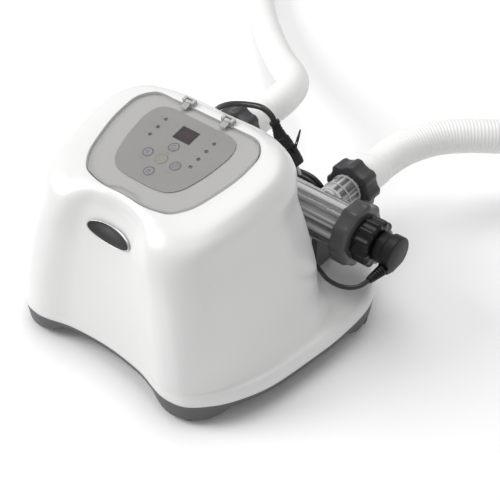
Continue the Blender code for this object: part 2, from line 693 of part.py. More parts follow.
for label, side in (("left", -1), ("right", 1)):
    seat = Vector((side * PORT_X, PORT_END_Y + 2.9, CELL_Z))
    keep(turned(f"hose_seal_{label}", seat - Vector((0, 2.6, 0)), (0, 1, 0),
                [(0, 15.5), (0, 20.5), (2.3, 20.5), (2.3, 15.5)], sides=24), "rubber")
    union_set(f"hose_nut_{label}", f"hose_cuff_{label}", seat + Vector((0, 1.5, 0)), (0, 1, 0))
    route = hose_route(label, seat + Vector((0, 1.5 + 42 + GAP, 0)))
    keep(tube(f"hose_{label}", route, HOSE_R, 56.0, resolution=2), "hose_white")
    outward = Vector((-side, 0, 0))
    tail = route[-1] + outward * (42 + GAP)
    union_set(f"end_nut_{label}", f"end_cuff_{label}", tail, -outward)

# Mains lead: gland, lead to the hank, hank, loop, plug and tie ------------------------------
keep(rod("mains_gland", (-88, 121.5, 62), (-88, 140, 62), 8.5, 4.6, sides=16), "cord_black")
MAINS_LEAD = [(-88, 140.4, 62), (-88, 150, 61.8), (-86.5, 163, 61), (-81, 177, 60), (-74, 186.5, 59),
              (-64.6, 193, 58)]
keep(tube("mains_lead", MAINS_LEAD, CORD_R, 10), "cord_black")


def hank_outline(bm):
    """A stadium-shaped bundle, standing on its edge and turned a little about Z."""
    radius = HANK_HEIGHT / 2
    straight = HANK_HALF - radius
    shape = [(sx * straight + radius * cos(a), radius * sin(a))
             for sx, start in ((1, -pi / 2), (-1, pi / 2))
             for a in [start + i * pi / 10 for i in range(11)]]
    turn = Matrix.Rotation(HANK_TURN, 3, "Z")
    middle = Vector((HANK_X, HANK_Y, HANK_Z + radius))
    rings = [[middle + turn @ Vector((x, y, z)) for x, z in shape]
             for y in (-HANK_WIDTH / 2, HANK_WIDTH / 2)]
    loft(bm, rings, start=True, end=True)
    bmesh.ops.recalc_face_normals(bm, faces=bm.faces)


keep(mesh_object("cord_hank", hank_outline), "cord_black")
LOOP = [(-20, 198.8, 117.9), (-33, 197.6, 119.8), (-46, 193.5, 127.5), (-57, 186.5, 139),
        (-63, 177, 154), (-64, 163, 172), (-58, 150, 190), (-44, 142, 207), (-25, 139.5, 220.5),
        (-8, 139, 228.2), (5, 139, 232.4), (15.7, 139.2, 235), (21.6, 139.4, 235.6),
        (28.4, 139.6, 234.1), (33.4, 139.8, 231.5)]
PLUG_AXIS = Vector((0.47, 0.02, -0.88)).normalized()
PLUG_TOP = Vector((38.5, 140, 225))
LOOP += [PLUG_TOP - PLUG_AXIS * 3.5, PLUG_TOP - PLUG_AXIS * GAP]
keep(tube("mains_loop", LOOP, CORD_R, 7), "cord_black")
keep(rod("plug_strain_relief", PLUG_TOP, PLUG_TOP + PLUG_AXIS * 20, 4.4, 6.8, sides=16), "cord_black")
BODY_TOP = PLUG_TOP + PLUG_AXIS * (20 + GAP)
BODY_END = BODY_TOP + PLUG_AXIS * 36
mains_plug = rod("mains_plug", BODY_TOP, BODY_END, 8.5, 13.0, sides=20)
across = Vector((0, 1, 0))
for k in (-1, 1):
    root = BODY_END + across * 6.35 * k
    boolean(mains_plug, rod(f"plug_pin_{k}", root - PLUG_AXIS * 4, root + PLUG_AXIS * 15, 2.0,
                            sides=12), "UNION")
keep(mains_plug, "cord_black")


def make_tie(name="cable_tie"):
    """A flat strap once round the plug, its head, and its tail standing up from the head."""
    middle = BODY_TOP + PLUG_AXIS * 16.7
    side = PLUG_AXIS.cross(across).normalized()
    path = [middle + 11.4 * (cos(a) * side + sin(a) * across)
            for a in [radians(150 - 15 * k) for k in range(21)]]
    half_width = 2.3

    def build(bm):
        outer = [p + (p - middle).normalized() * 1.2 for p in path]
        rings = [[p + PLUG_AXIS * half_width, p - PLUG_AXIS * half_width,
                  q - PLUG_AXIS * half_width, q + PLUG_AXIS * half_width]
                 for p, q in zip(path, outer)]
        loft(bm, rings, start=True, end=True)
        bmesh.ops.recalc_face_normals(bm, faces=bm.faces)
    tie = mesh_object(name, build)
    start = middle + side * 14
    for label, low, high in (("head", (-2, -2.9, -2.8), (2, 2.9, 2.8)),
                             ("tail", (-0.6, -2.2, 0), (0.6, 2.2, 31))):
        piece = box(f"tie_{label}", low, high)
        piece.location = start * MM
        piece.rotation_euler = (0, radians(12.6) if label == "tail" else -radians(28), 0)
        boolean(tie, piece, "UNION")
    return tie


keep(make_tie(), "cord_black")
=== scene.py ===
"""Looks of the salt chlorine generator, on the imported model's frame.

Lengths in the tables are millimetres in the unit frame: X = 0 on the dome's plane of
symmetry, -Y to the front and Z = 0 on the floor. place() turns them into metres in the
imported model's frame.
"""
from math import atan2, cos, hypot, pi, radians, sin

import bmesh
import bpy
from mathutils import Matrix, Vector


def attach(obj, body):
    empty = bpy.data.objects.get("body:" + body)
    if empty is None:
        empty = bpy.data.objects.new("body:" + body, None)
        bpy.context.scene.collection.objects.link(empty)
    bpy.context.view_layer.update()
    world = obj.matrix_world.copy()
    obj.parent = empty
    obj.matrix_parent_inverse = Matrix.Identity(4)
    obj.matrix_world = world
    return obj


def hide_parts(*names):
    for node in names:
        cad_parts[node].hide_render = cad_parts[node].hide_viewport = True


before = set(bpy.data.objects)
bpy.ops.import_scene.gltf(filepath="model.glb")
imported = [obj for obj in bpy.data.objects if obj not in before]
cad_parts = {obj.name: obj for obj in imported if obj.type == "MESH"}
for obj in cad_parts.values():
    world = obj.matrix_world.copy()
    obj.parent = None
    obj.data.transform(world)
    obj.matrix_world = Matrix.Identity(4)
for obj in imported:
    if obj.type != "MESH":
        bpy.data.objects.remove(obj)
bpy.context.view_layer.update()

MM = 0.001
MIDDLE_Y = 62.7                  # middle of the unit's footprint in the unit frame
PANEL_HEIGHT = 233.3
PANEL_TILT = radians(13.5)
HINGE_Y, HINGE_LIFT = 77.5, 2.9
KEY_PITCH = 19.9
CELL_Y, CELL_Z = 157.0, 110.0
CELL_END_X = 143.0
PORT_X, PORT_END_Y = 91.0, 229.0
SEAT_Y = PORT_END_Y + 4.4        # where the hose tails seat in their nuts
NECK_START_Y = CELL_Y + 28.6     # where the ports leave the round of the tube
TUBE_END_X = -127.5              # where the tube's closed end begins
SIDES = (("left", -1), ("right", 1))
HOSE_R = 22.4
CORD_R = 3.5


def place(point):
    """A unit-frame point in mm as a row-frame point in metres."""
    return Vector((point[0], point[1] - MIDDLE_Y, point[2])) * MM


def on_panel(x, y, lift=0.0):
    """A point of the sloping panel plane, in the unit frame, mm."""
    return Vector((x, y * cos(PANEL_TILT) - lift * sin(PANEL_TILT),
                   PANEL_HEIGHT + y * sin(PANEL_TILT) + lift * cos(PANEL_TILT)))


scene = bpy.context.scene


def linked(name, data):
    """An object of this data, put into the scene."""
    obj = bpy.data.objects.new(name, data)
    scene.collection.objects.link(obj)
    return obj


# --- Camera
AZIMUTH, ELEVATION = radians(40.2), radians(40.6)
DISTANCE = 1.40
LENS, SENSOR = 79.2, 36.0
LOOK_AT = Vector((-0.009, 0.155 - MIDDLE_Y * MM, 0.0))
BACK = Vector((sin(AZIMUTH) * cos(ELEVATION), -cos(AZIMUTH) * cos(ELEVATION), sin(ELEVATION)))
camera_data = bpy.data.cameras.new("camera")
camera_data.lens = LENS
camera_data.sensor_width = SENSOR
camera = linked("camera", camera_data)
camera.location = LOOK_AT + DISTANCE * BACK
camera.rotation_euler = BACK.to_track_quat("Z", "Y").to_euler()
scene.camera = camera

# --- Materials


class Shader:
    """A Principled material and short ways to wire nodes into it."""

    def __init__(self, name, **sockets):
        self.material = bpy.data.materials.new(name)
        self.material.use_nodes = True
        self.nodes = self.material.node_tree.nodes
        self.links = self.material.node_tree.links
        self.main = self.nodes["Principled BSDF"]
        self.where = self.nodes.new("ShaderNodeTexCoord").outputs["Object"]
        for socket, value in sockets.items():
            self.main.inputs[socket.replace("_", " ")].default_value = value

    def node(self, kind, inputs, **settings):
        made = self.nodes.new("ShaderNode" + kind)
        for key, value in settings.items():
            setattr(made, key, value)
        for key, value in inputs.items():
            if isinstance(value, bpy.types.NodeSocket):
                self.links.new(value, made.inputs[key])
            else:
                made.inputs[key].default_value = value
        return made

    def noise(self, scale, detail=3.0, vector=None):
        return self.node("TexNoise", {"Vector": vector or self.where, "Scale": scale,
                                      "Detail": detail, "Roughness": 0.55}).outputs["Fac"]

    def math(self, operation, a, b):
        return self.node("Math", {0: a, 1: b}, operation=operation).outputs[0]

    def ramp(self, factor, *stops):
        made = self.node("ValToRGB", {"Fac": factor})
        while len(made.color_ramp.elements) < len(stops):
            made.color_ramp.elements.new(0.5)
        for element, (position, value) in zip(made.color_ramp.elements, stops):
            element.position = position
            element.color = (*value, 1)
        return made.outputs["Color"]

    def mix(self, factor, a, b):
        a, b = (c if isinstance(c, bpy.types.NodeSocket) else (*c, 1) for c in (a, b))
        return self.node("Mix", {0: factor, 6: a, 7: b}, data_type="RGBA").outputs[2]

    def span(self, value, low, high, to_low, to_high):
        return self.node("MapRange", {"Value": value, "From Min": low, "From Max": high,
                                      "To Min": to_low, "To Max": to_high}).outputs[0]

    def wire(self, socket, value):
        self.links.new(value, self.main.inputs[socket])

    def bump(self, height, strength, distance=0.0004):
        made = self.node("Bump", {"Height": height, "Strength": strength, "Distance": distance})
        self.wire("Normal", made.outputs["Normal"])


def moulded(name, colour, spread=0.03, roughness=0.4, grain=900.0, bump=0.12, **sockets):
    """Moulded plastic: slight clouding of the colour, a fine grain and uneven gloss."""
    shader = Shader(name, **sockets)
    cloud = shader.noise(14.0, 4.0)
    dark = tuple(c * (1 - spread) for c in colour)
    light = tuple(min(c * (1 + spread), 1.0) for c in colour)
    shader.wire("Base Color", shader.ramp(cloud, (0.1, dark), (0.9, light)))
    fine = shader.noise(grain, 2.0)
    shader.wire("Roughness", shader.span(shader.noise(45.0, 3.0), 0.1, 0.9, roughness - 0.05,
                                         roughness + 0.06))
    shader.bump(fine, bump)
    return shader.material


white = moulded("white_shell", (0.73, 0.73, 0.725), spread=0.012, roughness=0.3, grain=700.0,
                bump=0.01, Coat_Weight=0.12, Coat_Roughness=0.25)
base_grey = moulded("base_dark_grey", (0.085, 0.085, 0.09), spread=0.06, roughness=0.5,
                    grain=1500.0, bump=0.3)
panel_grey = moulded("panel_grey", (0.385, 0.381, 0.374), spread=0.02, roughness=0.42,
                     grain=1400.0)
bracket_grey = moulded("bracket_grey", (0.42, 0.42, 0.41), spread=0.08, roughness=0.3)
hose_white = moulded("hose_white", (0.84, 0.84, 0.83), spread=0.015, roughness=0.36,
                     grain=600.0, bump=0.08, Subsurface_Weight=0.05,
                     Subsurface_Scale=0.003)
nut_grey = moulded("nut_charcoal", (0.05, 0.05, 0.053), spread=0.08, roughness=0.36,
                   grain=1100.0, bump=0.14, Specular_IOR_Level=0.35)
black = moulded("gloss_black", (0.007, 0.007, 0.0075), spread=0.15, roughness=0.24,
                bump=0.06, Specular_IOR_Level=0.3)
plug_black = moulded("plug_black", (0.01, 0.01, 0.0105), spread=0.15, roughness=0.42,
                     grain=1300.0, bump=0.2, Specular_IOR_Level=0.3)
pvc = moulded("cord_pvc", (0.012, 0.012, 0.0125), spread=0.2, roughness=0.3, grain=500.0,
              bump=0.1)
rubber = moulded("rubber_black", (0.02, 0.02, 0.02), spread=0.2, roughness=0.75, grain=1600.0,
                 bump=0.35)
seal_red = moulded("seal_dark_red", (0.12, 0.02, 0.015), spread=0.15, roughness=0.55)
steel = moulded("pin_steel", (0.6, 0.6, 0.61), spread=0.05, roughness=0.25, grain=1500.0,
                bump=0.05, Metallic=1.0)
copper = moulded("coil_copper", (0.55, 0.25, 0.1), spread=0.2, roughness=0.35, grain=500.0,
                 bump=0.4, Metallic=1.0)
board = moulded("board_green", (0.02, 0.12, 0.06), spread=0.25, roughness=0.4,
                grain=300.0, bump=0.3)


def film_material():
    """Keypad film: satin grey with the faint pebble of a printed overlay."""
    shader = Shader("keypad_film")
    cloud = shader.noise(30.0, 4.0)
    shader.wire("Base Color", shader.ramp(cloud, (0.3, (0.226, 0.222, 0.216)),
                                          (0.7, (0.24, 0.236, 0.23))))
    cells = shader.node("TexVoronoi", {"Vector": shader.where, "Scale": 1500.0})
    shader.wire("Roughness", shader.span(cloud, 0.3, 0.7, 0.36, 0.46))
    shader.bump(cells.outputs["Distance"], 0.08)
    return shader.material


def display_material():
    """Tinted window: plum grey with a painted glow that makes it a little lighter in the middle,
    and a fine dot grid.
    """
    shader = Shader("display_tint", Specular_IOR_Level=0.2)
    middle = place(on_panel(0, 40, -1))
    away = shader.node("VectorMath", {0: shader.where, 1: middle}, operation="DISTANCE")
    # Painted glow: the window's colour brightens towards its middle.
    painted_glow = shader.span(away.outputs["Value"], 0.0, 0.011, 1.0, 0.0)
    body = shader.mix(painted_glow, (0.012, 0.006, 0.009), (0.04, 0.018, 0.024))
    dots = shader.node("TexVoronoi", {"Vector": shader.where, "Scale": 1100.0,
                                      "Randomness": 0.0})
    shader.wire("Base Color", body)
    shader.wire("Roughness", shader.span(dots.outputs["Distance"], 0.0, 0.7, 0.16, 0.3))
    return shader.material


def clear_material(name, tint, alpha, roughness=0.05, grazing=0.3, **sockets):
    """Clear plastic: mostly see-through, stronger towards grazing angles."""
    shader = Shader(name, IOR=1.49, **sockets)
    cloud = shader.noise(25.0, 3.0)
    tint_dark = tuple(c * 0.85 for c in tint)
    shader.wire("Base Color", shader.ramp(cloud, (0.3, tint_dark), (0.7, tint)))
    shader.wire("Roughness", shader.span(cloud, 0.3, 0.7, roughness, roughness + 0.05))
    edge = shader.node("LayerWeight", {"Blend": 0.35}).outputs["Facing"]
    shader.wire("Alpha", shader.span(edge, 0.0, 1.0, alpha, min(alpha + grazing, 1.0)))
    shader.bump(shader.noise(60.0, 2.0), 0.06)
    return shader.material


def tube_material():
    """Smoke-tinted tube with long light and dark streaks painted in as refraction and highlights;
    the same streaks give its wall a ribbed bump.
    """
    shader = Shader("cell_smoke", IOR=1.49, Coat_Weight=0.6, Coat_Roughness=0.05)
    along_cell = shader.node("Mapping", {"Vector": shader.where, "Scale": (2.0, 150.0, 150.0)})
    along_neck = shader.node("Mapping", {"Vector": shader.where, "Scale": (110.0, 8.0, 110.0)})
    position = shader.node("SeparateXYZ", {"Vector": shader.where}).outputs
    on_end = shader.math("LESS_THAN", position["X"], TUBE_END_X * MM)
    on_neck = shader.math("GREATER_THAN", position["Y"], (NECK_START_Y - MIDDLE_Y) * MM)
    painted_streaks = shader.mix(on_neck, shader.noise(1.0, 2.0, vector=along_cell.outputs["Vector"]),
                         shader.noise(1.0, 2.0, vector=along_neck.outputs["Vector"]))
    painted_streaks = shader.mix(on_end, painted_streaks, (0.46, 0.46, 0.46))
    # Painted refraction: dark, grey and near-white bands stand in for the light bent through the
    # tube's wall.
    shader.wire("Base Color", shader.ramp(painted_streaks, (0.36, (0.03, 0.03, 0.032)),
                                          (0.47, (0.22, 0.22, 0.225)), (0.6, (0.85, 0.85, 0.86))))
    shader.wire("Roughness", shader.span(painted_streaks, 0.3, 0.7, 0.08, 0.2))
    edge = shader.node("LayerWeight", {"Blend": 0.3}).outputs["Facing"]
    shader.wire("Alpha", shader.span(edge, 0.0, 1.0, 0.62, 0.97))
    shader.bump(painted_streaks, 0.35, 0.0006)
    return shader.material


def titanium_material():
    """Coated titanium mesh: dark metal with rows of fine openings."""
    shader = Shader("titanium_plates", Metallic=1.0)
    cells = shader.node("TexVoronoi", {"Vector": shader.where, "Scale": 320.0,
                                       "Randomness": 0.15})
    shader.wire("Base Color", shader.ramp(cells.outputs["Distance"], (0.15, (0.06, 0.06, 0.06)),
                                          (0.5, (0.4, 0.4, 0.41))))
    shader.wire("Roughness", shader.span(shader.noise(80.0), 0.3, 0.7, 0.3, 0.5))
    shader.bump(cells.outputs["Distance"], 0.4)
    return shader.material


def badge_material():
    """Glossy black oval plate with a painted sheen: greyer across the middle, fading to black at
    its edges.
    """
    shader = Shader("badge_black", Specular_IOR_Level=0.3)
    middle = place((0, -80, 186))
    spread = shader.node("VectorMath", {0: shader.where, 1: middle}, operation="SUBTRACT")
    squeeze = shader.node("VectorMath", {0: spread.outputs[0], 1: (35.0, 35.0, 110.0)},
                          operation="MULTIPLY")
    away = shader.node("VectorMath", {0: squeeze.outputs[0]}, operation="LENGTH").outputs["Value"]
    # Painted sheen: grey in the middle of the plate, black towards its edges, broken by a little
    # noise.
    painted_sheen = shader.math("ADD", away, shader.math("MULTIPLY", shader.noise(120.0), 0.08))
    shader.wire("Base Color", shader.ramp(painted_sheen, (0.1, (0.06, 0.06, 0.062)),
                                          (0.95, (0.005, 0.005, 0.005))))
    shader.wire("Roughness", shader.span(shader.noise(200.0), 0.3, 0.7, 0.22, 0.3))
    return shader.material


film = film_material()
display_tint = display_material()
lid_clear = clear_material("lid_clear", (0.6, 0.6, 0.6), 0.02, grazing=0.06)
# Painted shade: a greyer, less clear rim stands in for the dark shadow line along the lid's edge.
lid_shaded_edge = clear_material("lid_shaded_edge", (0.42, 0.42, 0.42), 0.3, 0.1)
collar_smoke = clear_material("collar_smoke", (0.085, 0.085, 0.088), 0.94, 0.22, grazing=0.06,
                              Specular_IOR_Level=0.35)
# Painted highlights: the tube's ribs and bands are light grey to stand in for the bright lines
# along the smoke tube.
cell_highlight = clear_material("cell_highlight", (0.78, 0.78, 0.79), 0.6, 0.08)
cell_smoke = tube_material()
titanium = titanium_material()
badge_black = badge_material()
silver = moulded("silver_rim", (0.5, 0.5, 0.51), spread=0.05, roughness=0.38, Metallic=0.9)
ring_violet = moulded("print_violet", (0.075, 0.065, 0.11), spread=0.06, roughness=0.45)
ring_green = moulded("print_green", (0.2, 0.21, 0.1), spread=0.06, roughness=0.45)
print_dark = moulded("print_dark", (0.13, 0.13, 0.13), spread=0.08, roughness=0.5)
led_dark = moulded("led_dark", (0.02, 0.02, 0.021), spread=0.2, roughness=0.15,
                   Coat_Weight=0.5)

# --- Mesh tools


def piece(name, build, material, body="unit", stands_for=(), sharp=35, extra=()):
    """A mesh piece in the row frame: build(bm) works in unit-frame mm."""
    bm = bmesh.new()
    build(bm)
    bmesh.ops.remove_doubles(bm, verts=bm.verts, dist=1e-5)
    bmesh.ops.recalc_face_normals(bm, faces=bm.faces)
    for vert in bm.verts:
        vert.co = place(vert.co)
    mesh = bpy.data.meshes.new(name)
    bm.to_mesh(mesh)
    bm.free()
    obj = linked(name, mesh)
    for painted in (material, *extra):
        mesh.materials.append(painted)
    mesh.shade_smooth()
    mesh.set_sharp_from_angle(angle=radians(sharp))
    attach(obj, body)
    if stands_for:
        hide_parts(*stands_for)
    return obj


def smooth(points, steps, mirrored=False):
    """Hermite curve through points with chord-weighted tangents, `steps` pieces a span."""
    points = [Vector(p) for p in points]
    last = len(points) - 1

    def at(i):
        if 0 <= i <= last:
            return points[i]
        other = points[-i] if i < 0 else points[2 * last - i]
        if mirrored:
            return Vector((-other.x, *other[1:]))
        return 2 * points[0 if i < 0 else last] - other

    result = []
    for i in range(last):
        before, a, b, after = at(i - 1), at(i), at(i + 1), at(i + 2)
        lengths = [max((q - p).length, 1e-9) for p, q in ((before, a), (a, b), (b, after))]
        slope_a = (a - before) / lengths[0] * lengths[1] + (b - a) / lengths[1] * lengths[0]
        slope_a *= lengths[1] / (lengths[0] + lengths[1])
        slope_b = (b - a) / lengths[1] * lengths[2] + (after - b) / lengths[2] * lengths[1]
        slope_b *= lengths[1] / (lengths[1] + lengths[2])
        for k in range(steps):
            t = k / steps
            result.append((2 * t**3 - 3 * t**2 + 1) * a + (t**3 - 2 * t**2 + t) * slope_a
                          + (3 * t**2 - 2 * t**3) * b + (t**3 - t**2) * slope_b)
    result.append(points[last])
    return result


def outline(half, steps):
    """Close a half outline with its mirror image in X."""
    right = smooth(half, steps, mirrored=True)
    return right + [Vector((-p.x, *p[1:])) for p in reversed(right[1:-1])]


def loft(bm, rings, caps=False, closed=False, wall=0):
    """Join closed rings of equal size with quads; caps take the first material."""
    layers = [[bm.verts.new(p) for p in ring] for ring in rings]
    pairs = list(zip(layers, layers[1:]))
    if closed:
        pairs.append((layers[-1], layers[0]))
    for lower, upper in pairs:
        for i, a in enumerate(lower):
            j = (i + 1) % len(lower)
            bm.faces.new((a, lower[j], upper[j], upper[i])).material_index = wall
    if caps:
        bm.faces.new(list(reversed(layers[0])))
        bm.faces.new(layers[-1])


def turned_rings(centre, axis, profile, sides, radius_at=None):
    """Rings of a body turned about an axis from (distance along, radius) points."""
    turn = Vector(axis).to_track_quat("Z", "Y").to_matrix()
    rings = []
    for along, radius in profile:
        ring = []
        for i in range(sides):
            angle = 2 * pi * i / sides
            r = radius_at(radius, angle, along) if radius_at else radius
            ring.append(Vector(centre) + turn @ Vector((r * cos(angle), r * sin(angle), along)))
        rings.append(ring)
    return rings


def sweep(bm, path, radius_at, sides):
    """A tube along a path of points, without twist; radius_at(distance) gives its size."""
    direction = (path[1] - path[0]).normalized()
    across = direction.orthogonal().normalized()
    rings = []
    distance = 0.0
    for i, spot in enumerate(path):
        ahead = (path[min(i + 1, len(path) - 1)] - path[max(i - 1, 0)]).normalized()
        across = (across - ahead * across.dot(ahead)).normalized()
        side = ahead.cross(across)
        if i:
            distance += (spot - path[i - 1]).length
        r = radius_at(distance)
        rings.append([spot + r * (cos(2 * pi * k / sides) * across + sin(2 * pi * k / sides) * side)
                      for k in range(sides)])
    loft(bm, rings, caps=True)


def evenly(path, step):
    """Points a given distance apart along a polyline, both ends kept."""
    lengths = [0.0]
    for a, b in zip(path, path[1:]):
        lengths.append(lengths[-1] + (b - a).length)
    count = max(1, round(lengths[-1] / step))
    result = []
    k = 0
    for i in range(count + 1):
        target = lengths[-1] * i / count
        while k < len(path) - 2 and lengths[k + 1] < target:
            k += 1
        share = (target - lengths[k]) / max(lengths[k + 1] - lengths[k], 1e-9)
        result.append(path[k].lerp(path[k + 1], min(share, 1)))
    return result


# --- Hoses and cords
# Each hose in plan, from its tail outwards: (length of a leg, how far it turns left)
HOSE_LEGS = {
    "left": [(13.6, 0), (135, 51), (345, -8), (440, -133), (12, 0)],
    "right": [(13.6, 0), (120, -46), (315, 8), (430, 128), (12, 0)],
}
# Height of each hose's middle at distances along it
HOSE_HEIGHTS = {
    "left": [(0, 110), (16, 110), (60, 106.5), (110, 95), (210, 69), (300, 51), (400, 34),
             (480, 25), (560, 24), (740, 24), (850, 29), (908, 33.4), (930, 33.4), (960, 33.4)],
    "right": [(0, 110), (16, 110.1), (60, 111.8), (125, 113), (180, 109.5), (250, 96), (330, 72),
              (410, 47), (490, 29), (560, 24), (690, 24), (796, 29), (854, 33.4), (876, 33.4),
              (960, 33.4)],
}
LEG_STEP = 30.0


def hose_route(label, start):
    """Points along a hose, from its legs in plan and its heights."""
    heights = smooth([(along, z, 0) for along, z in HOSE_HEIGHTS[label]], 6)
    x, y, _ = start
    heading, travelled = pi / 2, 0.0
    route = [Vector(start)]
    for length, turn in HOSE_LEGS[label]:
        steps = max(1, round(length / LEG_STEP))
        for _ in range(steps):
            heading += radians(turn) / steps / 2
            x += cos(heading) * length / steps
            y += sin(heading) * length / steps
            heading += radians(turn) / steps / 2
            travelled += length / steps
            for a, b in zip(heights, heights[1:]):
                if a.x <= travelled <= b.x:
                    z = a.y + (b.y - a.y) * (travelled - a.x) / (b.x - a.x)
            route.append(Vector((x, y, z)))
    return route


HOSE_TAIL = 42.3                 # from a cuff's seat to the first point of its hose
HOSE_INSIDE = 14                 # how far the hose's end sits inside the cuff
NUT_BACK = 16                    # from a cuff's seat back to the mouth of its nut
HOSE_START = {label: Vector((side * PORT_X, SEAT_Y + HOSE_TAIL, CELL_Z)) for label, side in SIDES}
HOSE_POINTS = {label: hose_route(label, start) for label, start in HOSE_START.items()}
RIB_PITCH, RIB_DEPTH = 4.4, 0.95
CUFF_PROFILE = [(0, 15), (0, 20.5), (0.6, 21), (2.6, 21), (3, 18.4), (3.6, 18), (9, 18),
                (9.4, 22.2), (10.4, 23.3), (14, 23.4), (30, 23.2), (33, 23.3), (34, 22.9),
                (36, 23.3), (41, 23.2), (42, 22.2), (42, 15)]


def hose(label, side):
    """One ribbed hose with its two cuffs."""
    points = [HOSE_START[label] - Vector((0, HOSE_INSIDE, 0))] + HOSE_POINTS[label]
    route = evenly(smooth(points, 24), RIB_PITCH / 4)

    def ribbed(distance):
        wave = 0.5 + 0.5 * cos(2 * pi * distance / RIB_PITCH)
        fade = min(max((distance - HOSE_INSIDE) / 4, 0), 1)
        return HOSE_R - RIB_DEPTH * fade * (1 - wave**0.7)

    tube = piece(f"hose_{label}_ribbed", lambda bm: sweep(bm, route, ribbed, sides=28), hose_white,
                 stands_for=[f"hose_{label}"], sharp=80)
    end = HOSE_POINTS[label][-1] + Vector((-side * HOSE_TAIL, 0, 0))
    for name, centre, axis in ((f"hose_cuff_{label}", (side * PORT_X, SEAT_Y, CELL_Z), (0, 1, 0)),
                               (f"end_cuff_{label}", end, (side, 0, 0))):
        rings = turned_rings(centre, axis, CUFF_PROFILE, 48)
        piece(f"{name}_moulded", lambda bm: loft(bm, rings, closed=True), hose_white,
                           stands_for=[name])


def lobed(lobes, depth, flat, rim, reach):
    """Radius rule for a hand nut: raised lobes with hollow flutes between them."""
    def rule(radius, angle, along):
        if radius < rim - reach:
            return radius
        s = abs(sin(lobes * angle / 2))
        hollow = min(max((s - flat) / (1 - flat), 0), 1)
        return radius - depth * hollow * hollow * (3 - 2 * hollow)
    return rule


NUT_PROFILE = [(0, 21), (0, 29.6), (0.5, 30.8), (1.6, 32), (3, 32.5), (20.5, 32.5), (22.4, 31.8),
               (23.5, 30.3), (24, 28.4), (24, 19.6), (23.4, 18.8), (19.5, 18.8), (19.5, 21.6),
               (10, 21.6), (10, 21)]
NUT_LOBES = lobed(lobes=8, depth=3.4, flat=0.3, rim=32.5, reach=4.5)


def lobed_piece(name, centre, axis, profile, sides, lobes, material):
    """A lobed ring that turns with the node it stands for."""
    rings = turned_rings(centre, axis, profile, sides, lobes)
    return piece(f"{name}_lobed", lambda bm: loft(bm, rings, closed=True), material, body=name,
                 stands_for=[name], sharp=40)


def hand_nut(name, centre, axis):
    """A nut turned about its axis from its mouth at the centre."""
    lobed_piece(name, centre, axis, NUT_PROFILE, 128, NUT_LOBES, nut_grey)


for label, side in SIDES:
    hand_nut(f"hose_nut_{label}", (side * PORT_X, SEAT_Y - NUT_BACK, CELL_Z), (0, 1, 0))
    mouth = HOSE_POINTS[label][-1] + Vector((-side * (HOSE_TAIL + NUT_BACK), 0, 0))
    hand_nut(f"end_nut_{label}", mouth, (side, 0, 0))
for label, side in SIDES:
    hose(label, side)

# Electrode lead: from its gland round to the connector
RELIEF_AXIS = Vector((-0.09, -1, -0.05)).normalized()
RELIEF_TOP = Vector((199, 135.3, 98))
RELIEF_LENGTH, RELIEF_WIDE, RELIEF_NARROW, RELIEF_RIBS = 22, 6.6, 4.2, 5
RELIEF_END = RELIEF_TOP + RELIEF_AXIS * RELIEF_LENGTH
CELL_LEAD = [(72, 126, 77), (90, 126, 77.5), (104, 122.5, 79), (122, 113.5, 82), (140, 102, 86),
             (158, 92.5, 89.5), (176.7, 90, 92.8), (186.9, 92.9, 94.4), (194, 100.2, 95.8),
             RELIEF_END + RELIEF_AXIS * 3.5, RELIEF_END]


def ribbed_relief(bm):
    """A tapered strain relief cut by ring grooves."""
    profile = [(0, 0.01), (0, RELIEF_WIDE)]
    for k in range(RELIEF_RIBS):
        a = RELIEF_LENGTH * (0.12 + 0.8 * k / RELIEF_RIBS)
        b = a + RELIEF_LENGTH * 0.8 / RELIEF_RIBS * 0.45
        share = a / RELIEF_LENGTH
        r = RELIEF_WIDE + (RELIEF_NARROW - RELIEF_WIDE) * share
        profile += [(a, r), (a + 0.2, r * 0.8), (b - 0.2, r * 0.8), (b, r * 0.99)]
    profile += [(RELIEF_LENGTH - 0.5, RELIEF_NARROW), (RELIEF_LENGTH, RELIEF_NARROW * 0.9),
                (RELIEF_LENGTH, 0.01)]
    loft(bm, turned_rings(RELIEF_TOP, RELIEF_AXIS, profile, 24))


relief = piece("connector_relief_ribbed", ribbed_relief, plug_black,
               stands_for=["connector_strain_relief"])


def plug_rings():
    """Rings of the connector's back plate: a disc with one squared corner."""
    shape = []
    for i in range(28):
        angle = radians(-60) + i * radians(270) / 27
        shape.append((21 * cos(angle), 21 * sin(angle)))
    shape += [(-21, -9), (-19.5, -17), (-8, -20.5)]
    rings = []
    for x, scale in ((192.3, 0.93), (193.2, 0.985), (194.5, 1.0), (204.2, 1.0), (205.3, 0.985),
                     (205.8, 0.95)):
        rings.append([Vector((x, CELL_Y + y * scale, CELL_Z + z * scale)) for y, z in shape])
    return rings


def connector(bm):
    loft(bm, plug_rings(), caps=True)
    boss = [(180.5, 16.8), (181.2, 18.0), (182.5, 18.5), (193, 18.5)]
    rings = turned_rings((0, CELL_Y, CELL_Z), (1, 0, 0), boss, 48,
                         lambda r, a, x: r * (1 - 0.045 * (1 - abs(cos(3 * a)))))
    loft(bm, rings, caps=True)


plug_piece = piece("connector_plug_moulded", connector, plug_black,
                   stands_for=["connector_plug"], sharp=40)
cell_route = evenly(smooth(CELL_LEAD, 20), 2.0)
cell_cord = piece("cell_cord_round", lambda bm: sweep(bm, cell_route, lambda d: 2.7, sides=16),
                  pvc, stands_for=["cell_cord"])

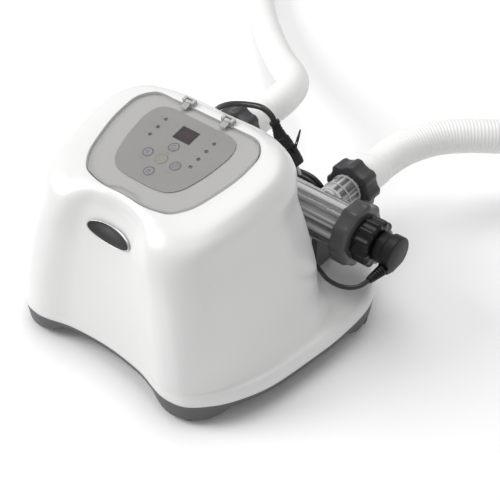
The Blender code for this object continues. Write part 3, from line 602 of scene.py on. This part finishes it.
# Mains lead: gland, shelf, hank of long loops, loop over the top, plug
HANK_X, HANK_HALF, HANK_Y, HANK_Z, HANK_HEIGHT = 2.0, 66.0, 202.0, 44.0, 70.0
HANK_TURN = radians(7.0)
PLUG_AXIS = Vector((0.47, 0.02, -0.88)).normalized()
PLUG_TOP = Vector((38.5, 140, 225))
LEAD_OUT = [(-88, 139, 62), (-88, 146, 62), (-87.5, 153, 61.6), (-85.5, 164, 60.8),
            (-80.5, 177, 60), (-73, 187.5, 58), (-60, 193.6, 54)]
LOOP_UP = [(-20, 199.5, 114), (-33, 198, 119.5), (-46, 193.5, 127.5), (-57, 186.5, 139),
           (-63, 177, 154), (-64, 163, 172), (-58, 150, 190), (-44, 142, 207), (-25, 139.5, 220.5),
           (-8, 139, 228.2), (5, 139, 232.4), (15.7, 139.2, 235), (21.6, 139.4, 235.6),
           (28.4, 139.6, 234.1), (33.4, 139.8, 231.5), PLUG_TOP - PLUG_AXIS * 3.5, PLUG_TOP]
CORD_GAP = 0.2                   # air round the hank's two columns
LAYER_GAP = 0.25


def hank_run():
    """Four turns of a stadium, wound inwards on the front side and outwards on the back."""
    turn = Matrix.Rotation(HANK_TURN, 3, "Z")
    middle = Vector((HANK_X, HANK_Y, HANK_Z + HANK_HEIGHT / 2))
    outer = HANK_HEIGHT / 2 - CORD_R - CORD_GAP
    straight = HANK_HALF - HANK_HEIGHT / 2
    layer = 2 * CORD_R + LAYER_GAP
    column = CORD_R + CORD_GAP
    turns = [(0, 1, -1, -1), (1, 1, -1, 1), (1, 0, 1, 1), (0, 0, 1, 1)]
    points = []

    def add(u, v, w):
        points.append(middle + turn @ Vector((u, v, w)))

    for index, (start, finish, side, next_side) in enumerate(turns):
        last = index == len(turns) - 1
        r = outer - start * layer
        for k in range(9):
            add(-straight * 0.9 + k * straight * 0.225, side * column, -r)
        for k in range(9):
            a = -pi / 2 + pi * k / 8
            add(straight + r * cos(a), side * column, r * sin(a))
        for k in range(1, 6 if last else 9):
            add(straight - k * straight * 0.225, side * column, r)
        if last:
            break
        for k in range(1, 9):
            share = k / 8
            ease = share * share * (3 - 2 * share)
            now = r + (start - finish) * layer * ease
            if side != next_side:
                now -= 0.25 * layer * sin(pi * share)
            a = pi / 2 + pi * share
            add(-straight + now * cos(a), (side + (next_side - side) * ease) * column,
                now * sin(a))
    return points


mains_points = LEAD_OUT + hank_run() + LOOP_UP
mains_route = evenly(smooth(mains_points, 8), 3.0)
mains_cord = piece("mains_cord_round",
                   lambda bm: sweep(bm, mains_route, lambda d: CORD_R - 0.05, sides=14), pvc,
                   stands_for=["mains_lead", "cord_hank", "mains_loop"],
                   sharp=60)

# --- White shell and base
SEAM_Z = 30.0
BASE_FLOOR_Z = 21.0
BASE_EDGE_Z = BASE_FLOOR_Z + 1   # lower edge of the base between its feet
FOOT_BOSS_Z = 5.0
FOOT_FLAT, FOOT_RISE = 22, 34    # radius of a foot's low part, and of the slope round it
FEET = [(118, -95), (171, 141)]
BASE_MIDDLE = Vector((0, 45, 0))
# Half outlines from the front middle round to the back middle, as in the shell's solid
WALL_CUTS = [
    (30, [(0, -101), (52, -105), (106, -116), (121, -113), (147, -91), (170, -50), (185, 30),
          (189, 82), (181, 152), (143, 205), (0, 216)]),
    (37, [(0, -100.5), (52, -104.5), (105.5, -115.5), (120.5, -112), (145.5, -90), (168.5, -49),
          (183.5, 30), (187.5, 82), (179.5, 151), (142, 203.5), (0, 214.5)]),
    (42, [(0, -100), (52, -104), (104.5, -115), (119, -111), (143, -88.5), (164, -48), (178, 30),
          (182, 81), (174, 149), (139, 199), (0, 210)]),
    (44, [(0, -100), (52, -104), (104.3, -115), (118, -110), (141, -87), (159, -44), (170, 20),
          (169, 66), (154, 104), (110, 124), (0, 126)]),
    (54, [(0, -99), (52, -103), (102.8, -114.2), (117, -110), (139, -86), (155, -42), (163, 20),
          (162, 62), (147, 98), (106, 117), (0, 119)]),
    (100, [(0, -94), (47, -98), (95.1, -109.2), (111, -105.5), (133, -85), (147, -40), (153, 18),
           (150, 60), (137, 97), (98, 115), (0, 118)]),
    (150, [(0, -86.5), (40, -90), (81.9, -100.6), (98, -98.5), (122, -79), (136, -36), (142, 18),
           (139, 58), (124, 93), (87, 113), (0, 117)]),
    (185, [(0, -78.5), (34, -82), (68.7, -95), (87, -92.5), (113, -73), (128, -32), (134, 18),
           (131, 56), (114, 89), (80, 109), (0, 114)]),
]
TOP_CUTS = [
    [(0, -71, -13), (32, -76, -12), (62, -90, -11), (80, -88, -10), (108, -68, -9), (123, -30, -12),
     (130, 16, -16), (129, 52, -19), (110, 82, -22), (76, 100, -25), (0, 105, -27)],
    [(0, -67, -5), (30, -70.5, -4.5), (58, -79, -5), (74, -77, -4), (98, -60, -3), (112, -25, -3),
     (120, 17, -4), (119, 51, -5), (101, 78, -6), (68, 89, -7), (0, 90, -8)],
    [(0, -61, 0), (28, -63, 0), (52, -63, 0), (66, -58, 0), (80, -42, 0), (93, -14, 0), (99, 20, 0),
     (97, 50, 0), (83, 74, 0), (58, 82.5, 0), (0, 83, 0)],
]
LID_OUTLINE = [(0, -53.5), (12, -54.5), (20, -58.5), (31, -59), (45, -57), (59, -52.5), (70.5, -41),
               (84, -5), (89.5, 33), (86.5, 58), (74, 71.5), (45, 74), (0, 74)]
RECESS_OUTLINE = [(0, -59), (12, -59.4), (20, -60), (31, -60), (45, -58), (59.8, -53.4),
                  (71.5, -41.6), (85.2, -5.2), (90.7, 33), (87.6, 58.6), (74.5, 72.6), (45, 75.2),
                  (0, 75.2)]
PANEL_MIDDLE = Vector((0, 10))


def resample(loop, directions):
    """Points of a closed panel loop along given directions from the panel's middle."""
    angles = [atan2(p.y - PANEL_MIDDLE.y, p.x - PANEL_MIDDLE.x) for p in loop]
    result = []
    for direction in directions:
        for i, angle in enumerate(angles):
            j = (i + 1) % len(loop)
            step = (angles[j] - angle) % (2 * pi)
            ahead = (direction - angle) % (2 * pi)
            if step < pi and ahead <= step:
                result.append(loop[i].lerp(loop[j], ahead / step if step else 0))
                break
    return result


def inset(point, distance):
    """A panel point moved towards the panel's middle."""
    flat = Vector((point.x, point.y))
    return flat + (PANEL_MIDDLE - flat).normalized() * distance


OUTLINE_STEPS, COLUMN_STEPS = 8, 5


def shell_surface(bm):
    """The dome: its cuts joined smoothly up every column, then the lid's recess."""
    cuts = [outline([(x, y, z) for x, y in half], OUTLINE_STEPS) for z, half in WALL_CUTS]
    tops = [outline(half, OUTLINE_STEPS) for half in TOP_CUTS]
    climbing = cuts[3:] + [[on_panel(*p) for p in ring] for ring in tops]
    columns = [smooth(column, COLUMN_STEPS) for column in zip(*climbing)]
    wall = [list(ring) for ring in zip(*columns)]
    seam = [Vector((p.x, p.y, SEAM_Z + 2)) for p in cuts[0]]
    lip = [a.lerp(b, 0.5) + Vector((0, 0, 1.2)) for a, b in zip(cuts[1], cuts[2])]
    shelf = [a.lerp(b, 0.12) for a, b in zip(cuts[2], wall[0])]
    directions = [atan2(p.y - PANEL_MIDDLE.y, p.x) for p in tops[-1]]
    mouth = resample(outline([(x, y, 0) for x, y in RECESS_OUTLINE], 12), directions)
    steps = ((-1.2, 0.05), (-0.4, -0.1), (0, -0.5), (0, -6.8), (0.3, -7), (9, -7))
    recess = [[on_panel(*inset(p, shrink), lift) for p in mouth] for shrink, lift in steps]
    loft(bm, [cuts[0], seam, cuts[1], lip, cuts[2], shelf] + wall + recess)


shell = piece("housing_shell_dome", shell_surface, white,
              stands_for=["housing_shell"], sharp=50)
wall = shell.modifiers.new("wall", "SOLIDIFY")
wall.thickness = 2.4 * MM
wall.offset = -1


def base_underside(x, y):
    """Height of the base's lower edge: high between the feet, low at each foot."""
    lowest = BASE_EDGE_Z
    for foot_x, foot_y in FEET:
        away = hypot(abs(x) - foot_x, y - foot_y)
        rise = min(max((away - FOOT_FLAT) / FOOT_RISE, 0), 1)
        rise = rise * rise * (3 - 2 * rise)
        lowest = min(lowest, FOOT_BOSS_Z + (BASE_EDGE_Z - FOOT_BOSS_Z) * rise)
    return lowest


def towards_middle(point, distance, z):
    """A point moved inwards in plan and set to a height."""
    flat = Vector((point.x, point.y, 0))
    moved = flat + (BASE_MIDDLE - flat).normalized() * distance
    return Vector((moved.x, moved.y, z))


def base_surface(bm):
    rim = outline([(*p, 0) for p in WALL_CUTS[0][1]], 10)
    under = [base_underside(p.x, p.y) for p in rim]
    rings = [[towards_middle(p, 40, BASE_FLOOR_Z) for p in rim]]
    for shrink, lift in ((34, 0), (6.5, 0), (4.2, 0.5), (2.9, 1.8), (2.3, 4)):
        rings.append([towards_middle(p, shrink, u + lift) for p, u in zip(rim, under)])
    for shrink, drop in ((0.9, 6.5), (0.8, 2.0), (0.3, 1.4), (0.3, 0.3)):
        rings.append([towards_middle(p, shrink, SEAM_Z - drop) for p in rim])
    loft(bm, rings, caps=True)


piece("base_tray_moulded", base_surface, base_grey, stands_for=["base_tray"],
      sharp=40)

# --- Badge: a blank oval plate with a bright rim
BADGE_HALF, BADGE_Z = (31.5, 11.0), 181.0


def front_of_cut(half, x):
    """Y of a cut's front side at a distance from the middle."""
    line = smooth([(px, py, 0) for px, py in half], 8, mirrored=True)
    for a, b in zip(line, line[1:]):
        if a.x <= abs(x) <= b.x:
            return a.y + (b.y - a.y) * (abs(x) - a.x) / max(b.x - a.x, 1e-9)
    return line[0].y


def front_face(x, z, out):
    """A point `out` in front of the dome's hollow face, from the cuts around z."""
    cuts = WALL_CUTS[5:]
    for (low, half_low), (high, half_high) in zip(cuts, cuts[1:]):
        if z <= high or high == cuts[-1][0]:
            share = (z - low) / (high - low)
            y = (1 - share) * front_of_cut(half_low, x) + share * front_of_cut(half_high, x)
            return Vector((x, y - out, z))


def badge_ring(scale, out, sides=64):
    return [front_face(BADGE_HALF[0] * scale * cos(2 * pi * i / sides),
                       BADGE_Z + BADGE_HALF[1] * scale * sin(2 * pi * i / sides), out)
            for i in range(sides)]


def badge_face(bm):
    loft(bm, [badge_ring(s, o) for s, o in ((0.94, 1.0), (0.95, 2.5), (0.8, 2.9), (0.5, 3.2),
                                            (0.2, 3.4))], caps=True)


def badge_rim(bm):
    loft(bm, [badge_ring(s, o) for s, o in ((0.95, 1.0), (1.0, 1.0), (1.0, 2.2), (0.99, 2.8),
                                            (0.975, 3.0), (0.955, 2.8), (0.95, 2.2))], closed=True)


piece("badge_face", badge_face, badge_black, stands_for=["badge_plate"],
      sharp=60)
piece("badge_rim", badge_rim, silver, sharp=60)

# --- Control panel
KEYS = {"power_button": (0, 0), "boost_button": (-1, 0), "timer_button": (1, 0),
        "self_clean_button": (0, 1), "lock_button": (0, -1)}
KEY_R = 6.4
FILM_LIFT, KEY_LIFT = -1.2, -0.8
PRINT_LIFT = FILM_LIFT - 0.02    # prints sink this far into the film


def panel_rings(x, y, profile, sides=40):
    """Rings about a panel point from (radius, lift) pairs."""
    return [[on_panel(x + r * cos(2 * pi * i / sides), y + r * sin(2 * pi * i / sides), lift)
             for i in range(sides)] for r, lift in profile]


def stroke(bm, points, width, lift, thickness=0.06):
    """A thin printed line over the panel through (x, y) points."""
    points = [Vector(p) for p in points]
    left, right = [], []
    for i, p in enumerate(points):
        along = (points[min(i + 1, len(points) - 1)] - points[max(i - 1, 0)]).normalized()
        side = Vector((-along.y, along.x)) * width / 2
        left.append(p + side)
        right.append(p - side)
    rings = [[on_panel(*a, lift), on_panel(*b, lift), on_panel(*b, lift + thickness),
              on_panel(*a, lift + thickness)] for a, b in zip(left, right)]
    loft(bm, rings, caps=True)


def arc(x, y, radius, start, end, steps=16):
    return [(x + radius * cos(radians(start + (end - start) * k / steps)),
             y + radius * sin(radians(start + (end - start) * k / steps)))
            for k in range(steps + 1)]


SYMBOLS = {                  # lines of each button's symbol, about the button's middle
    "power_button": [arc(0, 0, 2.7, -235, 55), [(0, 0.6), (0, 3.4)]],
    "boost_button": [[(-2, -0.2), (0, 2), (2, -0.2)], [(-2, -2.4), (0, -0.2), (2, -2.4)]],
    "timer_button": [arc(0, 0, 3.0, 0, 360, 24), [(0, 1.7), (0, 0), (1.3, 0)]],
    "self_clean_button": [arc(0, 0, 2.4, 20, 160), arc(0, 0, 2.4, 200, 340),
                          [(-3.3, 1.6), (-2.3, 0.5), (-1.2, 1.6)],
                          [(3.3, -1.6), (2.3, -0.5), (1.2, -1.6)]],
    "lock_button": [[(-2, 0.4), (2, 0.4), (2, -2.4), (-2, -2.4), (-2, 0.4)],
                    arc(0, 0.4, 1.4, 0, 180)],
}
for name, (i, j) in KEYS.items():
    x, y = i * KEY_PITCH, j * KEY_PITCH
    profile = [(5.9, -4.2), (KEY_R, -3.8), (KEY_R, -1.1), (6.25, -0.9), (5.9, KEY_LIFT)]
    piece(f"{name}_cap", lambda bm: loft(bm, panel_rings(x, y, profile), caps=True), film,
          body=name, stands_for=[name], sharp=50)

    def symbol(bm):
        for line in SYMBOLS[name]:
            stroke(bm, [(x + px, y + py) for px, py in line], 0.7, KEY_LIFT - 0.02)

    main = name == "power_button"
    ink = ring_green if main else ring_violet
    piece(f"{name}_symbol", symbol, ink, body=name)
    # The power key's ring is printed on the film round it, the others on the keys
    radius, lift = (7.6, PRINT_LIFT) if main else (5.4, KEY_LIFT - 0.04)
    piece(f"{name}_ring", lambda bm: stroke(bm, arc(x, y, radius, 0, 360, 64), 0.95, lift), ink,
          body="unit" if main else name)

LEDS = [(-36, 46.8), (-36, 33.8), (-36, 21), (34.5, 46), (34.5, 33.4), (34.5, 20.5), (34.5, 7.8)]
LED_PROFILE = [(2.3, FILM_LIFT - 0.03), (2.2, -1.0), (1.7, -0.7), (0.8, -0.55)]
CAPTION_HALF, CAPTION_DROP = 3.4, 9.8


def led_domes(bm):
    for x, y in LEDS:
        loft(bm, panel_rings(x, y, LED_PROFILE, 24), caps=True)


def panel_marks(bm):
    """Short bars where the panel carries its captions."""
    for x, y in LEDS:
        stroke(bm, [(x - 9.5, y + 0.6), (x - 4, y + 0.6)], 0.4, PRINT_LIFT)
    for i, j in KEYS.values():
        if (i, j) != (0, 0):
            x, y = i * KEY_PITCH, j * KEY_PITCH - CAPTION_DROP
            stroke(bm, [(x - CAPTION_HALF, y), (x + CAPTION_HALF, y)], 0.5, PRINT_LIFT)


def display_frame(bm):
    """Thin printed border round the display window."""
    corners = [(-12.4, 30.4), (12.4, 30.4), (12.4, 49.6), (-12.4, 49.6)]
    for a, b in zip(corners, corners[1:] + corners[:1]):
        stroke(bm, [a, b], 0.5, PRINT_LIFT)


piece("panel_leds", led_domes, led_dark, sharp=60)
piece("panel_marks", panel_marks, print_dark)
piece("display_frame", display_frame, print_dark)

# --- Lid
HINGE_X = 28.0
TONGUE_HALF, TONGUE_BACK = 3.8, 77.2
RIDGE_WIDE, RIDGE_PITCH = 1.6, 2.0


def lid_slab(bm):
    """The clear slab: its rounded rim takes the second material, greyer to paint the shadow line
    along its edge, its faces the first.
    """
    rim = outline([(x, y, 0) for x, y in LID_OUTLINE], 10)
    profile = ((1.6, -0.6), (0.3, -0.5), (0, 0.0), (0, 1.4), (0.4, 2.0), (1.4, 2.2))
    rings = [[on_panel(*inset(p, shrink), lift) for p in rim] for shrink, lift in profile]
    loft(bm, rings, caps=True, wall=1)


piece("lid_clear_slab", lid_slab, lid_clear, body="lid", stands_for=["lid"],
      extra=[lid_shaded_edge])


def panel_block(bm, x, x_end, y, low, high):
    """A block on the panel plane from y back to the tongues' end, between two lifts."""
    corners = [(x, y), (x_end, y), (x_end, TONGUE_BACK), (x, TONGUE_BACK)]
    loft(bm, [[on_panel(*p, lift) for p in corners] for lift in (low, high)], caps=True)


def lid_hinge_parts(bm):
    """Two ribbed tongues with their knuckles round the pins."""
    for side in (-1, 1):
        x = side * HINGE_X
        for k in range(4):
            a = x - TONGUE_HALF + k * RIDGE_PITCH
            panel_block(bm, a, a + RIDGE_WIDE, 67.5, 1.9, 2.9)
        panel_block(bm, x - TONGUE_HALF, x + TONGUE_HALF, 67, 0.9, 2.1)
        rings = turned_rings(on_panel(x - 3.9, HINGE_Y, HINGE_LIFT), (1, 0, 0),
                             [(0, 1.45), (0, 2.1), (0.3, 2.3), (7.5, 2.3), (7.8, 2.1),
                              (7.8, 1.45)], 20)
        loft(bm, rings, closed=True)


piece("lid_hinge_tongues", lid_hinge_parts, bracket_grey, body="lid")

# --- Electrode collar and cap
CELL_END = (CELL_END_X, CELL_Y, CELL_Z)
COLLAR = [(-7.5, 33.5), (-7.5, 36.8), (-6.8, 38.4), (-5.2, 39.4), (9.5, 39.5), (11.5, 38.9),
          (13.2, 37.3), (14, 35.4), (14, 25.5), (13.5, 24.2), (9, 24), (9, 33.5)]
COLLAR_LOBES = lobed(lobes=10, depth=2.3, flat=0.1, rim=39.5, reach=4.2)
lobed_piece("electrode_collar", CELL_END, (1, 0, 0), COLLAR, 120, COLLAR_LOBES, collar_smoke)
CAP = [(17, 20.4), (17, 27.4), (17.8, 28.5), (33, 28.7), (35, 28), (36.4, 26.6), (37, 24.9),
       (37, 11), (36.4, 10.2), (33.6, 10), (33.6, 20.4)]
CAP_LOBES = lobed(lobes=12, depth=2.6, flat=0.25, rim=28.7, reach=3.9)
lobed_piece("electrode_cap", CELL_END, (1, 0, 0), CAP, 144, CAP_LOBES, black)

RIB_FOOT_R = 28.2                # from the cell's axis to a rib's foot
RIB_ANGLES = (35, 75, 115)
RIB_SPANS = ((-122, -114), (-68, 68), (113, 135))
RIB_SECTION = ((-0.9, -0.8), (0.9, -0.8), (0.5, 0.7), (-0.5, 0.7))
TUBE_BAND = [(-1.2, 27.6), (-0.8, 29.2), (0.8, 29.2), (1.2, 27.6)]
NECK_BAND = [(-1, 19.6), (-0.7, 20.9), (0.7, 20.9), (1, 19.6)]


def tube_details(bm):
    """Long ribs and raised bands of the cell's moulding, in a light clear grey that paints in the
    highlights along them.
    """
    for angle in RIB_ANGLES:
        a = radians(angle)
        middle = Vector((0, CELL_Y + RIB_FOOT_R * cos(a), CELL_Z + RIB_FOOT_R * sin(a)))
        out = Vector((0, cos(a), sin(a)))
        side = Vector((0, -sin(a), cos(a)))
        for span in RIB_SPANS:
            rings = [[Vector((x, 0, 0)) + middle + side * s + out * o for s, o in RIB_SECTION]
                     for x in span]
            loft(bm, rings, caps=True)
    for x in (-126.5, 133.5):
        loft(bm, turned_rings((x, CELL_Y, CELL_Z), (1, 0, 0), TUBE_BAND, 64), closed=True)
    for side in (-1, 1):
        for y in (196, 214):
            loft(bm, turned_rings((side * PORT_X, y, CELL_Z), (0, 1, 0), NECK_BAND, 48),
                 closed=True)


piece("cell_tube_ribs", tube_details, cell_highlight, sharp=40)

# --- Mains plug and its tie
NECK = [(0, 3.9), (0, 5.6), (0.4, 6.0), (4.0, 6.1), (4.4, 5.6), (4.6, 4.9), (6.0, 4.9),
        (6.2, 5.5), (7.6, 5.6), (7.8, 5.0), (9.2, 5.1), (9.4, 5.8), (10.8, 6.0), (11, 5.4),
        (12.4, 5.6), (12.6, 6.3), (20, 7.8), (20, 0.02), (0.5, 0.02)]
PLUG_BODY = [(20.2, 7.4), (21, 8.2), (26, 9.2), (30, 10.2), (31, 9.9), (34, 10.9), (35, 10.6),
             (38, 11.5), (39, 11.2), (44, 12.4), (52, 13.2), (55.5, 13.0), (56.2, 12.2)]
PLUG_ROUND = 3.2                 # 2 would make the body's section a circle, more a square
PLUG_ACROSS = Vector((0, 1, 0))
PLUG_SIDE = PLUG_AXIS.cross(PLUG_ACROSS).normalized()
PIN_OFFSET = 6.35
plug_neck = piece("plug_neck", lambda bm: loft(bm, turned_rings(PLUG_TOP, PLUG_AXIS, NECK, 32)),
                  plug_black, stands_for=["plug_strain_relief"])


def plug_body(bm):
    """Body that widens to its pins, with grip ridges on its sides."""
    rings = []
    for along, half in PLUG_BODY:
        ring = []
        for i in range(36):
            a = 2 * pi * i / 36
            c, s = cos(a), sin(a)
            r = half / (abs(c)**PLUG_ROUND + abs(s)**PLUG_ROUND)**(1 / PLUG_ROUND) * 0.97
            ring.append(PLUG_TOP + PLUG_AXIS * along + r * c * PLUG_SIDE + r * s * PLUG_ACROSS)
        rings.append(ring)
    loft(bm, rings, caps=True)


def plug_pins(bm):
    """Two round pins, rooted 1 mm inside the body's face."""
    for k in (-1, 1):
        root = PLUG_TOP + PLUG_AXIS * PLUG_BODY[-1][0] + PLUG_ACROSS * PIN_OFFSET * k
        loft(bm, turned_rings(root, PLUG_AXIS, [(-1, 2.0), (14, 2.0), (15, 1.4)], 20),
             caps=True)


body_piece = piece("mains_plug_body", plug_body, plug_black,
                   stands_for=["mains_plug"], sharp=30)
pins_piece = piece("mains_plug_pins", plug_pins, silver)


TIE_ALONG = 37                   # how far down the plug the strap sits
TIE_SECTION = ((11.5, 2.2), (11.5, -2.2), (12.6, -2.2), (12.6, 2.2))
TAIL_AXIS = Vector((0.218, 0, 0.976))
TAIL_HALF = 2.2
LADDER_LOW, LADDER_HIGH = 2.2, 13.2


def tie(bm):
    """A strap round the plug, its head, and a tapered tail with two ladder holes."""
    middle = PLUG_TOP + PLUG_AXIS * TIE_ALONG
    rings = []
    for k in range(41):
        a = radians(155 - 7.75 * k)
        out = cos(a) * PLUG_SIDE + sin(a) * PLUG_ACROSS
        rings.append([middle + out * r + PLUG_AXIS * w for r, w in TIE_SECTION])
    loft(bm, rings, caps=True)
    head = middle + PLUG_SIDE * 14

    def block(along, thick, low, high, left, right, tip=1.0):
        face = [(left, low), (right, low), (right * tip, high), (left * tip, high)]
        loft(bm, [[head + PLUG_ACROSS * u + along * v + thick * t for u, v in face]
                  for t in (-0.6, 0.6)], caps=True)

    thick = TAIL_AXIS.cross(PLUG_ACROSS)
    block(-PLUG_AXIS, PLUG_SIDE * 3.2, -2.8, 2.8, -2.9, 2.9)
    for low, high in ((0, LADDER_LOW), (7.0, 8.4), (LADDER_HIGH, 17)):
        block(TAIL_AXIS, thick, low, high, -TAIL_HALF, TAIL_HALF)
    for u in (-1.85, 1.85):
        block(TAIL_AXIS, thick, LADDER_LOW, LADDER_HIGH, u - 0.35, u + 0.35)
    block(TAIL_AXIS, thick, 17, 30.5, -TAIL_HALF, TAIL_HALF, tip=0.35)


tie_piece = piece("cable_tie_strap", tie, plug_black, stands_for=["cable_tie"],
                  sharp=30)

# --- Materials of the model's own nodes
NODE_PAINT = {
    "panel_bezel": panel_grey, "keypad_overlay": film, "display_window": display_tint,
    "cell_tube": cell_smoke, "electrode_plates": titanium, "electrode_head": nut_grey,
    "cell_cord_gland": plug_black, "mains_gland": plug_black, "control_board": board,
    "power_board": board, "transformer": copper,
}
for stem, material in (("hinge_bracket", bracket_grey), ("hinge_pin", steel),
                       ("cell_cradle", base_grey), ("hose_seal", seal_red),
                       ("foot_front", rubber), ("foot_rear", rubber)):
    for label, _ in SIDES:
        NODE_PAINT[f"{stem}_{label}"] = material
for name, material in NODE_PAINT.items():
    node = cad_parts[name]
    node.data.materials.clear()
    node.data.materials.append(material)

# --- Stage


def light(name, spot, power, size, look_at=(0.0, 0.1, 0.1)):
    data = bpy.data.lights.new(name, "AREA")
    data.energy = power
    data.shape = "DISK"
    data.size = size
    lamp = linked(name, data)
    lamp.location = spot
    lamp.rotation_euler = (Vector(spot) - Vector(look_at)).to_track_quat("Z", "Y").to_euler()


light("key", (-1.9, -1.5, 1.9), 52, 1.6)
light("top", (-0.2, 0.5, 2.6), 30, 2.2)
world = bpy.data.worlds.new("studio")
world.use_nodes = True
world.node_tree.nodes["Background"].inputs["Color"].default_value = (1.0, 1.0, 1.0, 1)
world.node_tree.nodes["Background"].inputs["Strength"].default_value = 0.5
scene.world = world
scene.view_settings.view_transform = "Standard"
floor_paint = moulded("floor_pale", (0.97, 0.97, 0.97), spread=0.004, roughness=0.7, bump=0.01)
floor_mesh = bpy.data.meshes.new("floor")
FLOOR_HALF = 6.0
corners = [(x * FLOOR_HALF, y * FLOOR_HALF, 0) for x, y in ((-1, -1), (1, -1), (1, 1), (-1, 1))]
floor_mesh.from_pydata(corners, [], [(0, 1, 2, 3)])
floor_mesh.materials.append(floor_paint)
floor = linked("floor", floor_mesh)
floor.location.z = -0.4 * MM      # just under the feet, so the two never share a plane
